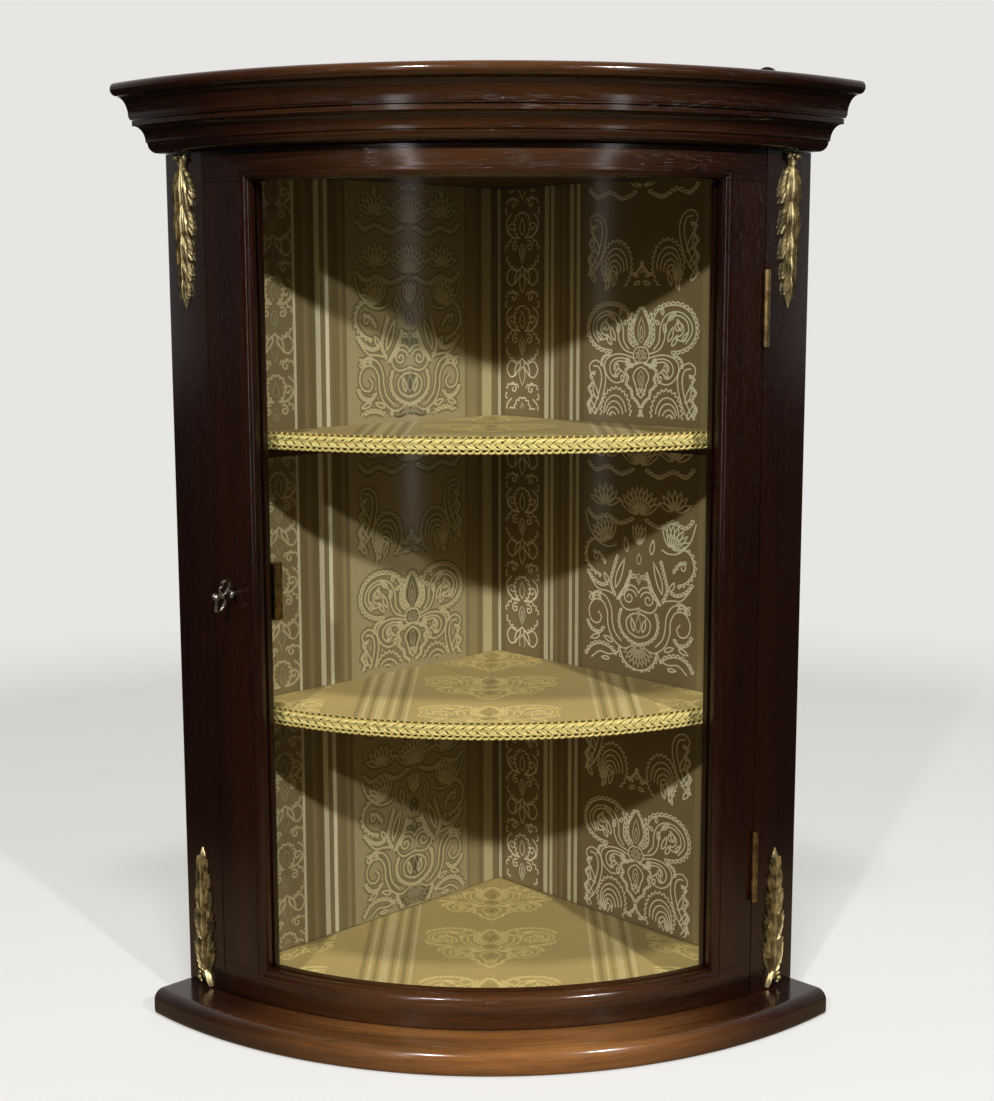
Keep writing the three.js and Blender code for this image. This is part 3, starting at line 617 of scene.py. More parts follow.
# %% Carcase stiles
def carcase_stile(side, start, end, cutters=()):
    shape = swept(box_profile(BACK_RADIUS, BOW, STILE_FOOT, STILE_TOP), start, end)
    stile = solid(f"front_stile_{side}", shape, STILE_WOOD, "carcase", [f"carcase_stile_{side}"])
    if cutters:
        carve(stile, cutters)
    dress(stile, STILE_WOOD, "carcase", soften=0.5)


carcase_stile("left", -QUARTER, STILE_LEFT_END)
carcase_stile("right", STILE_RIGHT_START, QUARTER, hinge_pockets([-1, 2.3]))
print("carcase stiles in place")


# %% The door frame as nested rings
def ring(radius, left, right, foot, top):
    """A rectangle wrapped on the bow, with as many points on each side for every ring."""
    corners = [(left, foot), (right, foot), (right, top), (left, top)]
    points = []
    for i, count in enumerate((124, 24, 124, 24)):
        (a0, z0), (a1, z1) = corners[i], corners[(i + 1) % 4]
        for k in range(count):
            points.append(polar(radius, a0 + (a1 - a0) * k / count, z0 + (z1 - z0) * k / count))
    return points


def sight_ring(depth, margin):
    """A ring some way below the face of the frame, and wider than the sight by a margin."""
    swing = margin / BOW
    return ring(BOW - depth, SIGHT_LEFT - swing, SIGHT_RIGHT + swing, SIGHT_FOOT - margin, SIGHT_TOP + margin)


def frame_body():
    sink, round_size, rebate = 0.6, 5.8, 8
    rings = [ring(radius, DOOR_LEFT, DOOR_RIGHT, DOOR_FOOT, DOOR_TOP) for radius in (BACK_RADIUS, BOW)]
    rings += [sight_ring(0, 7), sight_ring(sink, 7), sight_ring(sink, 6.2)]
    for margin, height in hollow([0, 0], round_size, round_size, 1, 0, 8)[1:]:
        rings.append(sight_ring(sink + round_size - height, round_size - margin))
    rings += [sight_ring(10, 0), sight_ring(10, rebate), sight_ring(BOW - BACK_RADIUS, rebate)]
    return joined(rings, closed=True)


def member(name, low, high, half=0):
    """One rail or stile: the frame between two heights, on both sides or on the left or right only."""
    piece = solid(f"frame_{name}", frame_body(), RAIL_WOOD, "door", [f"door_{name}"])
    shell = bmesh.new()
    shell.from_mesh(piece.data)
    planes = [((0, 0, low * MM), (0, 0, -1)), ((0, 0, high * MM), (0, 0, 1))]
    if half:
        planes.append(((0, 0, 0), (-half, 0, 0)))
    for spot, outward in planes:
        everything = list(shell.verts) + list(shell.edges) + list(shell.faces)
        bmesh.ops.bisect_plane(shell, geom=everything, plane_co=spot, plane_no=outward, clear_outer=True)
        bmesh.ops.holes_fill(shell, edges=[edge for edge in shell.edges if edge.is_boundary], sides=0)
    shell.to_mesh(piece.data)
    shell.free()
    return piece


MITRE_GAP = 0.3
top_rail = member("rail_top", SIGHT_TOP, DOOR_TOP + 1)
bottom_rail = member("rail_bottom", DOOR_FOOT - 1, SIGHT_FOOT)
lock_stile = member("stile_lock", SIGHT_FOOT + MITRE_GAP, SIGHT_TOP - MITRE_GAP, half=-1)
hinge_stile = member("stile_hinge", SIGHT_FOOT + MITRE_GAP, SIGHT_TOP - MITRE_GAP, half=1)

keyhole = rod(polar(338, LOCK_ANGLE, LOCK_HEIGHT), polar(366, LOCK_ANGLE, LOCK_HEIGHT), 2.3)
key_slot = turned_block(LOCK_ANGLE, LOCK_HEIGHT, [338, 366], [-1.2, 1.2], [-8.3, 0])
carve(lock_stile, [keyhole, key_slot])
carve(hinge_stile, hinge_pockets([-2.3, 1]))
for wood, pieces in ((RAIL_WOOD, (top_rail, bottom_rail)), (STILE_WOOD, (lock_stile, hinge_stile))):
    for piece in pieces:
        dress(piece, wood, "door", soften=0.35)
print("door frame: two rails and two stiles")

# %% [markdown]
# The pane is one sheet of glass bent to the bow. It lies in the rebate behind the moulding, and four thin
# beads hold it there from inside, so both are plain sections carried round the same centre.

# %% Pane and beads
glass = Finish("bent_glass")
glass_place = Place(glass)
ripple = glass.speckle(glass.vector(glass_place.bow * 0.02, glass_place.z * 0.006, 0.0), 1.0, detail=1.0)
ripple_normal = glass.relief(ripple, 0.0006, strength=0.25)
shine = glass.node("BsdfGlossy", {}, {"Color": (1, 1, 1, 1), "Roughness": 0.15, "Normal": ripple_normal})
facing = glass.node("Fresnel", {}, {"IOR": 1.5, "Normal": ripple_normal}) * 0.10
glass.show(facing, glass.glow("BsdfTransparent", (0.955, 0.965, 0.945)), shine)
glass.tree.nodes.remove(glass.shader)

PANE_INNER, PANE_OUTER, PANE_MARGIN = 348.7, 351.7, 7
BEAD_FACE, BEAD_WIDTH = 348.4, 7.7
swing = PANE_MARGIN / BOW
pane = swept(box_profile(PANE_INNER, PANE_OUTER, SIGHT_FOOT - PANE_MARGIN, SIGHT_TOP + PANE_MARGIN),
             SIGHT_LEFT - swing, SIGHT_RIGHT + swing)
solid("pane", pane, glass.material, "door", ["door_glass"], soften=0.3)
swing = BEAD_WIDTH / BOW
across = (SIGHT_LEFT - swing, SIGHT_RIGHT + swing)
upward = (SIGHT_FOOT + MITRE_GAP, SIGHT_TOP - MITRE_GAP)
for name, (foot, top), (start, end), wood in (
    ("top", (SIGHT_TOP, SIGHT_TOP + BEAD_WIDTH), across, RAIL_WOOD),
    ("bottom", (SIGHT_FOOT - BEAD_WIDTH, SIGHT_FOOT), across, RAIL_WOOD),
    ("left", upward, (SIGHT_LEFT - swing, SIGHT_LEFT), STILE_WOOD),
    ("right", upward, (SIGHT_RIGHT, SIGHT_RIGHT + swing), STILE_WOOD),
):
    bead = swept(box_profile(BACK_RADIUS, BEAD_FACE, foot, top), start, end)
    solid(f"glass_bead_{name}", bead, wood, "door", [f"bead_{name}"], soften=0.8)
print("pane and four beads")

# %% [markdown]
# The inside is lined with a striped furnishing damask, glued over card. Each wall has its own strip of it,
# so the stripes fall at different places on the left and right walls. A stripe is only a matter of where a
# point lies along the wall, so a colour ramp over that distance draws them all, and fine ribs are added for
# the weave.

# %% Striped cloth
OLIVE = (0.268, 0.192, 0.090)
TAUPE = (0.215, 0.152, 0.066)
CREAM = (0.86, 0.79, 0.56)
# painted sheen: the left wall's broad band and one of its stripes are painted paler than the same cloth on
# the right wall
OLIVE_PAINTED_SHEEN = (0.43, 0.340, 0.180)
STRIPE_PAINTED_SHEEN = (0.60, 0.50, 0.28)
BRONZE = (0.33, 0.25, 0.115)
# the shelf and floor ground is partly the cloth's own gold and partly painted sheen, the weave's shine at a
# low angle
STRAW_AND_SHEEN = (0.62, 0.445, 0.165)
PALE_STRAW = (0.80, 0.62, 0.30)
DARK_STRAW = (0.42, 0.30, 0.115)
SLUB = (0.17, 0.130, 0.058)
STRIPE_SPAN = 340
RIB_PITCH = 0.9


def damask(name, where, stripes, across, ground=OLIVE, sheen=0.25):
    """where picks the coordinate that the stripes cross; across picks the one along them."""
    finish = Finish(name)
    place = Place(finish)
    reach, length = where(place), across(place)
    ragged = reach + finish.speckle(finish.vector(reach * 0.2, length * 0.8, 0.0), 1.0) * 0.8 - 0.4
    steps = [(0.0, ground)]
    for start, end, color in stripes:
        steps += [(start / STRIPE_SPAN, color), (end / STRIPE_SPAN, ground)]
    striped = finish.steps(ragged / STRIPE_SPAN, steps)
    rib = (length * (2 * math.pi / RIB_PITCH)).wave()
    slub = finish.speckle(finish.vector(reach * 0.9, length * 0.10, 0.0), 1.0)
    cloud = finish.speckle(finish.vector(reach, length, 0.0), 0.016, detail=2.0)
    shade = finish.mix(slub * 0.35 + cloud * 0.2, striped, SLUB)
    finish.set(Base_Color=shade, Roughness=0.62 + slub * 0.2, Specular_IOR_Level=0.3)
    finish.set(Sheen_Weight=sheen, Sheen_Roughness=0.4)
    finish.set(Normal=finish.relief(rib * 0.5 + slub * 0.5, 0.00012, strength=0.6))
    return finish.material


RIGHT_STRIPES = [
    (19.5, 23.2, CREAM), (25, 29, TAUPE), (75.5, 78.5, TAUPE), (80.4, 85.3, CREAM), (88.1, 92.9, CREAM),
    (95, 98, BRONZE), (99, 101, TAUPE), (103, 106, BRONZE), (107.5, 110, TAUPE), (111.9, 116.6, CREAM),
    (119.7, 124.2, CREAM), (126, 130, TAUPE), (264, 269, BRONZE),
]
LEFT_STRIPES = [
    (11, 18, TAUPE), (19.4, 31.6, STRIPE_PAINTED_SHEEN), (34, 37, TAUPE), (39, 50, BRONZE), (54, 194, OLIVE_PAINTED_SHEEN),
    (196, 199, TAUPE), (200, 203, BRONZE), (204.5, 212.5, TAUPE), (214, 219, CREAM), (224, 229, CREAM),
    (230.5, 236, TAUPE), (238, 241, BRONZE), (242.5, 249, TAUPE), (250.5, 253, CREAM),
]
SHELF_STRIPES = [
    (58, 62, DARK_STRAW), (64, 67.5, PALE_STRAW), (70, 73, DARK_STRAW), (75, 82, PALE_STRAW),
    (84, 86, DARK_STRAW), (88, 91, PALE_STRAW), (94, 98, DARK_STRAW), (100, 103, PALE_STRAW),
    (257, 260, PALE_STRAW), (262, 266, DARK_STRAW), (269, 272, PALE_STRAW), (274, 276, DARK_STRAW),
    (278, 285, PALE_STRAW), (287, 290, DARK_STRAW), (292, 295, PALE_STRAW),
]
HALF_SHELF_SPAN = 170
left_finish = damask("damask_left_wall", lambda p: p.along_left, LEFT_STRIPES, lambda p: p.z)
right_finish = damask("damask_right_wall", lambda p: p.along_right, RIGHT_STRIPES, lambda p: p.z)
shelf_finish = damask("damask_shelf", lambda p: p.x + HALF_SHELF_SPAN, SHELF_STRIPES, lambda p: p.front,
                      ground=STRAW_AND_SHEEN, sheen=0.05)
print("damask finishes: left wall, right wall and shelves")


# %% Sheets of cloth
CLOTH_FOOT, CLOTH_TOP = 28.2, 695.8
CARD_THICKNESS = 0.9
CARD_MARGIN = 0.6
CLOTH_SINK = 0.25
CLOTH_FACE = {"left": 20.3, "right": 11.3}
CLOTH_SPAN = {"left": (11.9, 336.8), "right": (19.6, 337.6)}
CARD_START = {"left": 11.9, "right": 18.6}


def wall_point(side, along, depth, height):
    """A point in mm: along a wall from the corner, depth in from its outer face."""
    left, right = (along, depth) if side == "left" else (depth, along)
    return ((right - left) * DIAGONAL, -(left + right) * DIAGONAL, height)


def grid_sheet(rows, to_back):
    """A thin closed sheet over a grid of points; to_back moves a point to the back of the cloth."""
    height, width = len(rows), len(rows[0])
    front = [point for row in rows for point in row]
    back = [tuple(Vector(point) + Vector(to_back)) for point in front]
    size = len(front)
    faces = []
    for i in range(height - 1):
        for j in range(width - 1):
            a = i * width + j
            quad = (a, a + 1, a + 1 + width, a + width)
            faces += [quad, tuple(size + k for k in reversed(quad))]
    rim = list(range(width)) + [i * width + width - 1 for i in range(1, height)]
    rim += [(height - 1) * width + j for j in range(width - 2, -1, -1)]
    rim += [i * width for i in range(height - 2, 0, -1)]
    for a, b in zip(rim, rim[1:] + rim[:1]):
        faces.append((a, a + size, b + size, b))
    return front + back, faces


def wall_swell(side, along, height):
    """How far the cloth stands up from its card, in mm, at a place on a wall."""
    return 0.22 * noise.noise(Vector((along * 0.03, height * 0.015, 3.0 if side == "left" else 9.0)))


def level_swell(x, y, foot):
    """The same for a shelf or the floor."""
    return 0.25 * noise.noise(Vector((x * 0.02, y * 0.02, foot)))


def wall_rise(side, along, height, lift=0.0):
    """A point on the cloth of a wall, or some way above it."""
    depth = CLOTH_FACE[side] - CLOTH_SINK + wall_swell(side, along, height) + lift
    return wall_point(side, along, depth, height)


card = Finish("grey_card")
card_fleck = Place(card).cloud(0.6)
card.set(Base_Color=card.mix(card_fleck, (0.20, 0.17, 0.13), (0.28, 0.24, 0.19)), Roughness=0.9)
card.set(Normal=card.relief(card_fleck, 0.0001))
for side, (start, end) in CLOTH_SPAN.items():
    back = CLOTH_FACE[side] - 2
    heights = (CLOTH_FOOT - CARD_MARGIN, CLOTH_TOP + CARD_MARGIN)
    shape = block(lambda along, depth, height: wall_point(side, along, back + depth, height),
                  (CARD_START[side], end), (0, CARD_THICKNESS), heights)
    solid(f"lining_card_{side}", shape, card.material, "carcase", soften=0.2)


def wall_cloth(side, finish):
    """Cloth glued over a card on a wall: nearly flat, with a slow unevenness of a few tenths."""
    across, upwards = spread(*CLOTH_SPAN[side], 8), spread(CLOTH_FOOT, CLOTH_TOP, 8)
    rows = [[wall_rise(side, along, height) for along in across] for height in upwards]
    inwards = Vector(wall_point(side, 0, 1, 0))
    return solid(f"wall_damask_{side}", grid_sheet(rows, -inwards * 0.7), finish, "carcase",
                 [f"lining_{side}"])


left_cloth = wall_cloth("left", left_finish)
right_cloth = wall_cloth("right", right_finish)
print("linings glued to their cards")


# %% Shelf and floor cloths
LEVELS = {  # node: name, how far its sides stay from the left and right walls, radius and foot of its cloth
    "floor_cloth": ("floor_damask", 18.6, 9.6, 337.5, 26.3),
    "shelf_cloth_lower": ("shelf_damask_lower", 20.9, 11.9, 319.7, 257.5),
    "shelf_cloth_upper": ("shelf_damask_upper", 20.9, 11.9, 319.7, 485.0),
}
LEVEL_FACE = 1.0 - 0.28


def corner_cloth(name, left_inset, right_inset, radius, foot, node):
    """Cloth over a shelf or the floor, from the back corner to the bow, and its area in m2."""
    start = -QUARTER + math.asin(left_inset / radius)
    end = QUARTER - math.asin(right_inset / radius)
    corner = Vector(wall_point("left", right_inset, left_inset, 0))
    rim = [Vector(polar(radius, angle, 0)) for angle in spread(start, end, math.radians(1.2))]
    rows = []
    for share in [0.004] + spread(0.03, 1.0, 0.035):
        spots = [corner.lerp(spot, share)[:2] for spot in rim]
        rows.append([(x, y, foot + LEVEL_FACE + level_swell(x, y, foot)) for x, y in spots])
    cloth = solid(name, grid_sheet(rows, (0, 0, -0.6)), shelf_finish, "carcase", [node])
    outline = [corner] + rim
    area = 0.5 * abs(sum(a.x * b.y - b.x * a.y for a, b in zip(outline, outline[1:] + outline[:1])))
    return cloth, area * MM * MM


level_cloths = {node: corner_cloth(*sizes, node) for node, sizes in LEVELS.items()}
print("floor and shelf cloths laid")

# %% [markdown]
# The damask's pattern is drawn in thread of a paler colour: a flower over an urn, with scrolls, shells and
# lobed leaves, the stock of furnishing damask for three centuries. The weaver repeats it down each band and
# mirrors it left to right, so only the right half of one repeat is drawn here, out of a few kinds of
# stroke: a smooth curve, a lobed edge, a roll and a pointed leaf. Each stroke becomes a ribbon of satin
# thread one or two millimetres wide that lies on the cloth. Thin geometry stays crisp at any distance,
# where a texture would blur.

# %% Strokes of the pattern, in mm on the cloth
def smooth(points, per=5):
    """A curve through the points."""
    ends = [points[0]] + list(points) + [points[-1]]
    line = []
    for a, b, c, d in zip(ends, ends[1:], ends[2:], ends[3:]):
        for k in range(per):
            t = k / per
            weights = (-t + 2 * t ** 2 - t ** 3, 2 - 5 * t ** 2 + 3 * t ** 3,
                       t + 4 * t ** 2 - 3 * t ** 3, t ** 3 - t ** 2)
            line.append(tuple(0.5 * sum(w * p[j] for w, p in zip(weights, (a, b, c, d))) for j in (0, 1)))
    return line + [tuple(points[-1])]


def frill(points, pitch, depth, side=1):
    """The lobed edge of a leaf along a curve: round lobes with sharp notches, to one side of it."""
    curve = smooth(points, 8)
    runs = [0.0]
    for a, b in zip(curve, curve[1:]):
        runs.append(runs[-1] + math.dist(a, b))
    lobes = max(1, round(runs[-1] / pitch))
    line, k = [], 0
    for i in range(lobes * 4 + 1):
        run = runs[-1] * i / (lobes * 4)
        while k < len(runs) - 2 and runs[k + 1] < run:
            k += 1
        t = (run - runs[k]) / ((runs[k + 1] - runs[k]) or 1.0)
        (x0, y0), (x1, y1) = curve[k], curve[k + 1]
        length = math.hypot(x1 - x0, y1 - y0) or 1.0
        out = side * depth * (0.0, 0.75, 1.0, 0.6)[i % 4]
        lag = -0.35 * depth * (0.0, 0.2, 0.9, 1.0)[i % 4]
        x, y = x0 + (x1 - x0) * t, y0 + (y1 - y0) * t
        line.append((x - (y1 - y0) / length * out - (x1 - x0) / length * lag,
                     y + (x1 - x0) / length * out - (y1 - y0) / length * lag))
    return line


def lobed(points, pitch, depth):
    """The lobes and the smooth curve that they stand on."""
    return [frill(points, pitch, depth), smooth(points, 4)]


def roll(x, y, size, start, turns):
    """A scroll end that tightens as it turns; turns may be negative."""
    count = max(10, int(abs(turns) * 16))
    line = []
    for i in range(count + 1):
        reach = size * 0.22 ** (i / count)
        turn = math.radians(start) + 2 * math.pi * turns * i / count
        line.append((x + reach * math.cos(turn), y + reach * math.sin(turn)))
    return line


def leaf(x, y, lean, length, width, bend=0.0):
    """A pointed loop with its foot at x, y, leaning by an angle in degrees."""
    out, over = math.cos(math.radians(lean)), math.sin(math.radians(lean))
    line = []
    for side, run in ((1, range(7)), (-1, range(5, -1, -1))):
        for i in run:
            t = i / 6
            along = length * t
            across = side * width * math.sin(math.pi * t ** 0.8) / 2 + bend * length * t * t
            line.append((x + along * out - across * over, y + along * over + across * out))
    return line


def petals(x, y, near, far, start, end, count, width):
    """Leaves that radiate from a point."""
    spokes = []
    for i in range(count):
        lean = start + (end - start) * (i + 0.5) / count
        turn = math.radians(lean)
        spokes.append(leaf(x + near * math.cos(turn), y + near * math.sin(turn), lean, far - near, width))
    return spokes


def leaves(*sizes):
    return [leaf(*some) for some in sizes]


def curves(*lists):
    return [smooth(points) for points in lists]


def arc(x, y, across, tall, angles):
    """Points on an ellipse at angles in degrees."""
    return [(x + across * math.cos(math.radians(a)), y + tall * math.sin(math.radians(a))) for a in angles]


# %% Half a repeat: the flower
flower = lobed([(0, 106), (5, 98), (9, 87), (8, 78), (3, 71)], 4.4, 2.6)
flower += leaves((0, 72, 90, 25, 8), (0, 76, 90, 13, 3))
flower += petals(0, 60, 1.5, 6.5, 0, 360, 8, 2.6)
flower += curves([(0, 51.5), (6, 53), (8.8, 60), (6, 67), (0, 68.5)])
flower += lobed([(8, 68), (14, 74), (15, 84), (14, 95), (20, 104), (32, 108), (45, 107),
                 (55, 101)], 5.0, 3.2)
flower += lobed([(55, 101), (60, 91), (60, 80), (54, 71), (44, 66), (34, 65)], 5.0, 3.2)
flower += leaves((44, 84, 100, 12, 4, 0.2), (46, 74, 60, 10, 3.5), (27, 82, 100, 9, 3.5),
                 (30, 94, 40, 11, 4))
flower += petals(12, 52, 1.5, 7, 230, 420, 5, 3.2) + [roll(12, 48, 5, 90, -1.1)]
flower += leaves((24, 44, -60, 12, 4, 0.1), (27, 50, -80, 10, 3.5), (22, 36, -100, 9, 3.5),
                 (8, 92, 70, 10, 3.5))
flower += curves([(9, 62), (20, 66), (26, 76), (27, 88), (33, 97), (43, 98), (51, 92), (52, 82),
                  (46, 75), (38, 77)],
                 [(14, 66), (20, 74), (21, 86), (26, 97), (36, 102), (47, 100), (55, 92), (56, 82),
                 (49, 72)])
flower += [roll(41, 87, 8.5, -100, 1.3)]
flower += leaves((30, 74, 60, 15, 4.5, 0.15), (34, 70, 50, 12, 4, 0.15), (24, 99, 100, 7, 3),
                 (20, 90, 140, 6, 3))
flower += curves([(8, 57), (20, 61), (33, 60), (41, 53), (42, 42), (37, 31), (29, 26), (21, 29),
                  (19, 37), (24, 42)],
                 [(14, 55), (24, 57), (32, 54), (36, 47), (35, 38), (30, 33), (26, 35)],
                 [(18, 52), (26, 53), (31, 48), (31, 41)])
flower += lobed([(36, 62), (45, 57), (47, 46)], 5, -2.6)
flower += lobed([(3, 50), (12, 47), (17, 40), (14, 33), (16, 25), (10, 18), (9, 10), (4, 5),
                 (0, -3)], 4.6, 2.4)
flower += curves([(0, 47), (6, 42), (9, 34), (6, 24), (4, 15), (0, 8)])
flower += leaves((0, 42, -90, 24, 7), (0, 36, -90, 13, 2.5), (1, 20, -70, 9, 3))

# %% Half a repeat: crook and shell
crook = [smooth([(60, -24), (50, -8), (44, 10), (41, 30), (44, 46), (53, 53), (60, 47), (59, 38),
         (53, 39)])]
crook += curves([(58, -12), (52, 2), (48, 16), (46, 32), (49, 44), (56, 46)])
crook += lobed([(54, 38), (60, 34), (57, 26), (62, 18), (58, 8), (63, -2), (60, -12), (63, -22)], 5, -3)
crook += leaves((50, 4, 70, 22, 5, 0.1), (52, -14, 60, 20, 5, 0.1), (54, -30, 60, 18, 5, 0.1))
crook += lobed([(9, -22), (2, -12), (0, -6)], 4, 2.2)
crook += leaves((0, -20, 90, 9, 4), (4, -24, 30, 9, 4), (2, -30, -30, 8, 4))
shell = [frill(arc(29, 10, 16, 20, (-40, -10, 20, 60, 100, 140, 180, 215, 240)), 4.6, -2.6)]
for size in (0.82, 0.64, 0.46, 0.3, 0.16):
    shell.append(arc(29 + (1 - size) * 5, 10 - (1 - size) * 9, 16 * size, 20 * size, range(-50, 200, 16)))
shell += leaves((33, -8, 100, 14, 4, 0.2), (38, -10, 70, 16, 4), (42, -12, 110, 24, 4))

# %% Half a repeat: the urn
urn = leaves((0, -24, -90, 10, 5), (3, -26, -20, 7, 3), (0, -27, -90, 5, 1.5))
urn += lobed([(26, -50), (20, -42), (14, -34), (10, -22)], 4.6, 2.6)
urn += curves([(26, -50), (17, -44), (12, -36), (10, -22)],
              [(24, -49), (18, -40), (12, -28)])
urn += lobed([(36, -38), (44, -40), (54, -36), (62, -28)], 4.6, 2.6)
urn += curves([(28, -46), (38, -44), (50, -42), (62, -28)])
urn += leaves((36, -36, 60, 10, 4), (44, -46, -20, 12, 4, 0.1))
urn += [roll(11, -47, 9, 170, -1.5)]
urn += curves([(0, -42), (4, -37), (12, -36), (20, -42), (21, -52), (14, -58), (4, -57), (0, -55)])
urn += lobed([(19, -58), (22, -68), (19, -78), (10, -85), (0, -88)], 5, 2.4)
urn += [smooth([(0, -60), (8, -62), (14, -68), (12, -77), (5, -81), (0, -82)]), leaf(0, -78, 90, 16, 6)]
urn += leaves((5, -77, 75, 13, 4), (0, -62, 90, 5, 4))
urn += curves([(6, -90), (18, -94), (30, -87), (36, -75), (37, -63), (43, -54), (53, -54), (59, -63),
               (56, -73), (48, -75), (44, -69), (48, -64)],
              [(20, -88), (28, -80), (31, -70), (32, -60), (38, -50), (48, -47), (58, -50)])
urn += lobed([(40, -78), (46, -84), (56, -82), (62, -74)], 5, 2.6)
urn += petals(0, -90, 3, 19, 196, 344, 9, 4.4)
urn += lobed(arc(0, -90, 22, 22, (-90, -62, -34, -6)), 5.6, -3)
urn += lobed([(26, -102), (34, -96), (46, -94), (56, -98), (62, -106)], 5, 2.8)
urn += curves([(22, -98), (34, -102), (46, -101), (56, -108)])
urn += leaves((30, -90, 20, 12, 4), (46, -86, -20, 12, 4), (34, -106, 0, 10, 3))
urn += petals(50, -66, 13, 17, 60, 120, 2, 3)
urn += lobed([(28, -48), (34, -36), (31, -24), (26, -10)], 4.6, 2.6) + leaves((27, -40, 105, 30, 6, 0.1))
urn += lobed([(44, -30), (54, -26), (62, -16), (60, -4), (52, 2), (44, -2)], 5, -3)
urn += lobed([(40, -20), (46, -12), (54, -10)], 4.4, 2.4) + [roll(50, -14, 6, 200, -1.2),
              roll(57, -52, 5, 60, 1.1)]
urn += petals(36, 0, 3, 24, 15, 120, 7, 5.2) + [smooth([(26, 0), (34, -3), (46, -1), (58, 10), (64, 26)])]
urn += petals(0, 0, 2, 20, 60, 90, 2, 5) + leaves((14, -6, 80, 14, 5), (0, -16, 90, 10, 5))
palmette = petals(0, -36, 2, 26, 20, 90, 5, 6) + petals(40, -30, 2, 20, 10, 170, 7, 5)
palmette += lobed([(6, -40), (22, -46), (38, -40), (52, -44), (62, -36)], 5, 2.8)

# %% Half a repeat: the narrow band
narrow = [frill([(0, 30), (6, 26), (6, 18), (2, 13)], 3.6, 2), leaf(0, 14, 90, 13, 5)]
narrow += [roll(10.5, 20, 5.2, -80, 1.3), smooth([(3, 12), (9, 13), (15, 17), (16, 25), (11, 30)]),
           roll(7, 6, 4.4, 120, -1.3)]
narrow += [frill([(3, 12), (11, 10), (16, 3), (13, -5), (6, -9)], 4, 2.2), leaf(0, 8, -90, 14, 6),
           leaf(0, 5, -90, 8, 2)]
narrow += [smooth([(0, -8), (5, -12), (12, -10), (16, -16), (12, -22), (6, -20)]),
           leaf(2, -10, -60, 12, 4), leaf(0, -14, -90, 14, 6)]
narrow += [frill([(4, -30), (11, -28), (16, -32), (15, -38)], 4, 2), roll(9, -31, 4, 60, 1.1)]
print("strokes in half a repeat:", len(flower) + len(urn), "and in the narrow band:", len(narrow))

# %% [markdown]
# On the right wall the thread is the figure, in cream on an olive ground. The left wall catches the light
# the other way, and that is painted into its colours: the ground of the broad band is painted paler, as
# painted sheen, and the thread duller, as painted shade, so the shapes stay dull, with only their edges in
# cream. So a second, wider ribbon in olive lies below the cream one on that wall's broad band.

# %% Laying the pattern on the cloth
PATTERN_REPEAT, NARROW_REPEAT = 452, 68
ROSETTE = 60
SHELF_BANDS = [(247, 264), (474.5, 492)]


def about_rosette(strokes, above=0.91, below=0.71):
    """Strokes with their heights drawn nearer to the middle of the rosette."""
    return [[(x, ROSETTE + (y - ROSETTE) * (above if y > ROSETTE else below)) for x, y in stroke]
            for stroke in strokes]


def lowered(strokes, drop):
    return [[(x, y - drop) for x, y in stroke] for stroke in strokes]


def repeated(strokes, centre, scale, first, last, repeat, offset):
    """Both halves of the strokes, repeated from one height to another."""
    lines = []
    step = repeat * scale
    for k in range(math.floor((first - offset) / step) - 1, math.ceil((last - offset) / step) + 2):
        for stroke in strokes:
            for side in (1, -1):
                lines.append([(centre + side * x * scale, offset + k * step + y * scale) for x, y in stroke])
    return lines


def ribbons(lines, width, rise, lay, allowed):
    """Strips three points wide, with the middle raised, cut off where a point isn't allowed."""
    points, faces = [], []
    for line in lines:
        held = False
        for i, (x, y) in enumerate(line):
            if not allowed(x, y):
                held = False
                continue
            (x0, y0), (x1, y1) = line[max(i - 1, 0)], line[min(i + 1, len(line) - 1)]
            length = math.hypot(x1 - x0, y1 - y0) or 1.0
            nx, ny = (y0 - y1) / length * width / 2, (x1 - x0) / length * width / 2
            points += [lay(x - nx, y - ny, rise * 0.3), lay(x, y, rise), lay(x + nx, y + ny, rise * 0.3)]
            if held:
                a = len(points) - 6
                faces += [(a, a + 1, a + 4, a + 3), (a + 1, a + 2, a + 5, a + 4)]
            held = True
    return points, faces


def thread(name, color, shade):
    finish = Finish(name)
    strand = Place(finish).cloud(1.6, detail=2.0)
    finish.set(Base_Color=finish.mix(strand, color, shade), Roughness=0.5 + strand * 0.2)
    finish.set(Specular_IOR_Level=0.35, Normal=finish.relief(strand, 0.00008, strength=0.5))
    return finish.material


CREAM_THREAD = thread("cream_thread", (0.93, 0.86, 0.66), (0.74, 0.66, 0.46))
# painted shade: the left wall's cream thread is a duller copy of the right wall's cream thread
CREAM_THREAD_PAINTED_SHADE = thread("cream_thread_painted_shade", (0.56, 0.475, 0.28), (0.46, 0.385, 0.215))
OLIVE_THREAD = thread("olive_thread", (0.235, 0.190, 0.090), (0.195, 0.155, 0.070))
GOLD_THREAD = thread("gold_thread", (0.84, 0.66, 0.28), (0.70, 0.53, 0.20))


def wall_pattern(name, side, bands, width, rise, finish):
    """Ribbons of the pattern on a wall. A band is (strokes, repeat, centre, scale, half width, offset)."""
    shapes = []
    for strokes, repeat, centre, scale, half, offset in bands:
        def allowed(along, height):
            clear = all(not low < height < high for low, high in SHELF_BANDS)
            return clear and abs(along - centre) < half and 30 < height < 694 and along < 336

        lines = repeated(strokes, centre, scale, 28, 696, repeat, offset)
        shapes.append(ribbons(lines, width, rise, lambda x, y, lift: wall_rise(side, x, y, lift), allowed))
    shape = gather(shapes)
    print(name, "has", len(shape[0]), "points")
    return solid(name, shape, finish, "carcase", crease=80)


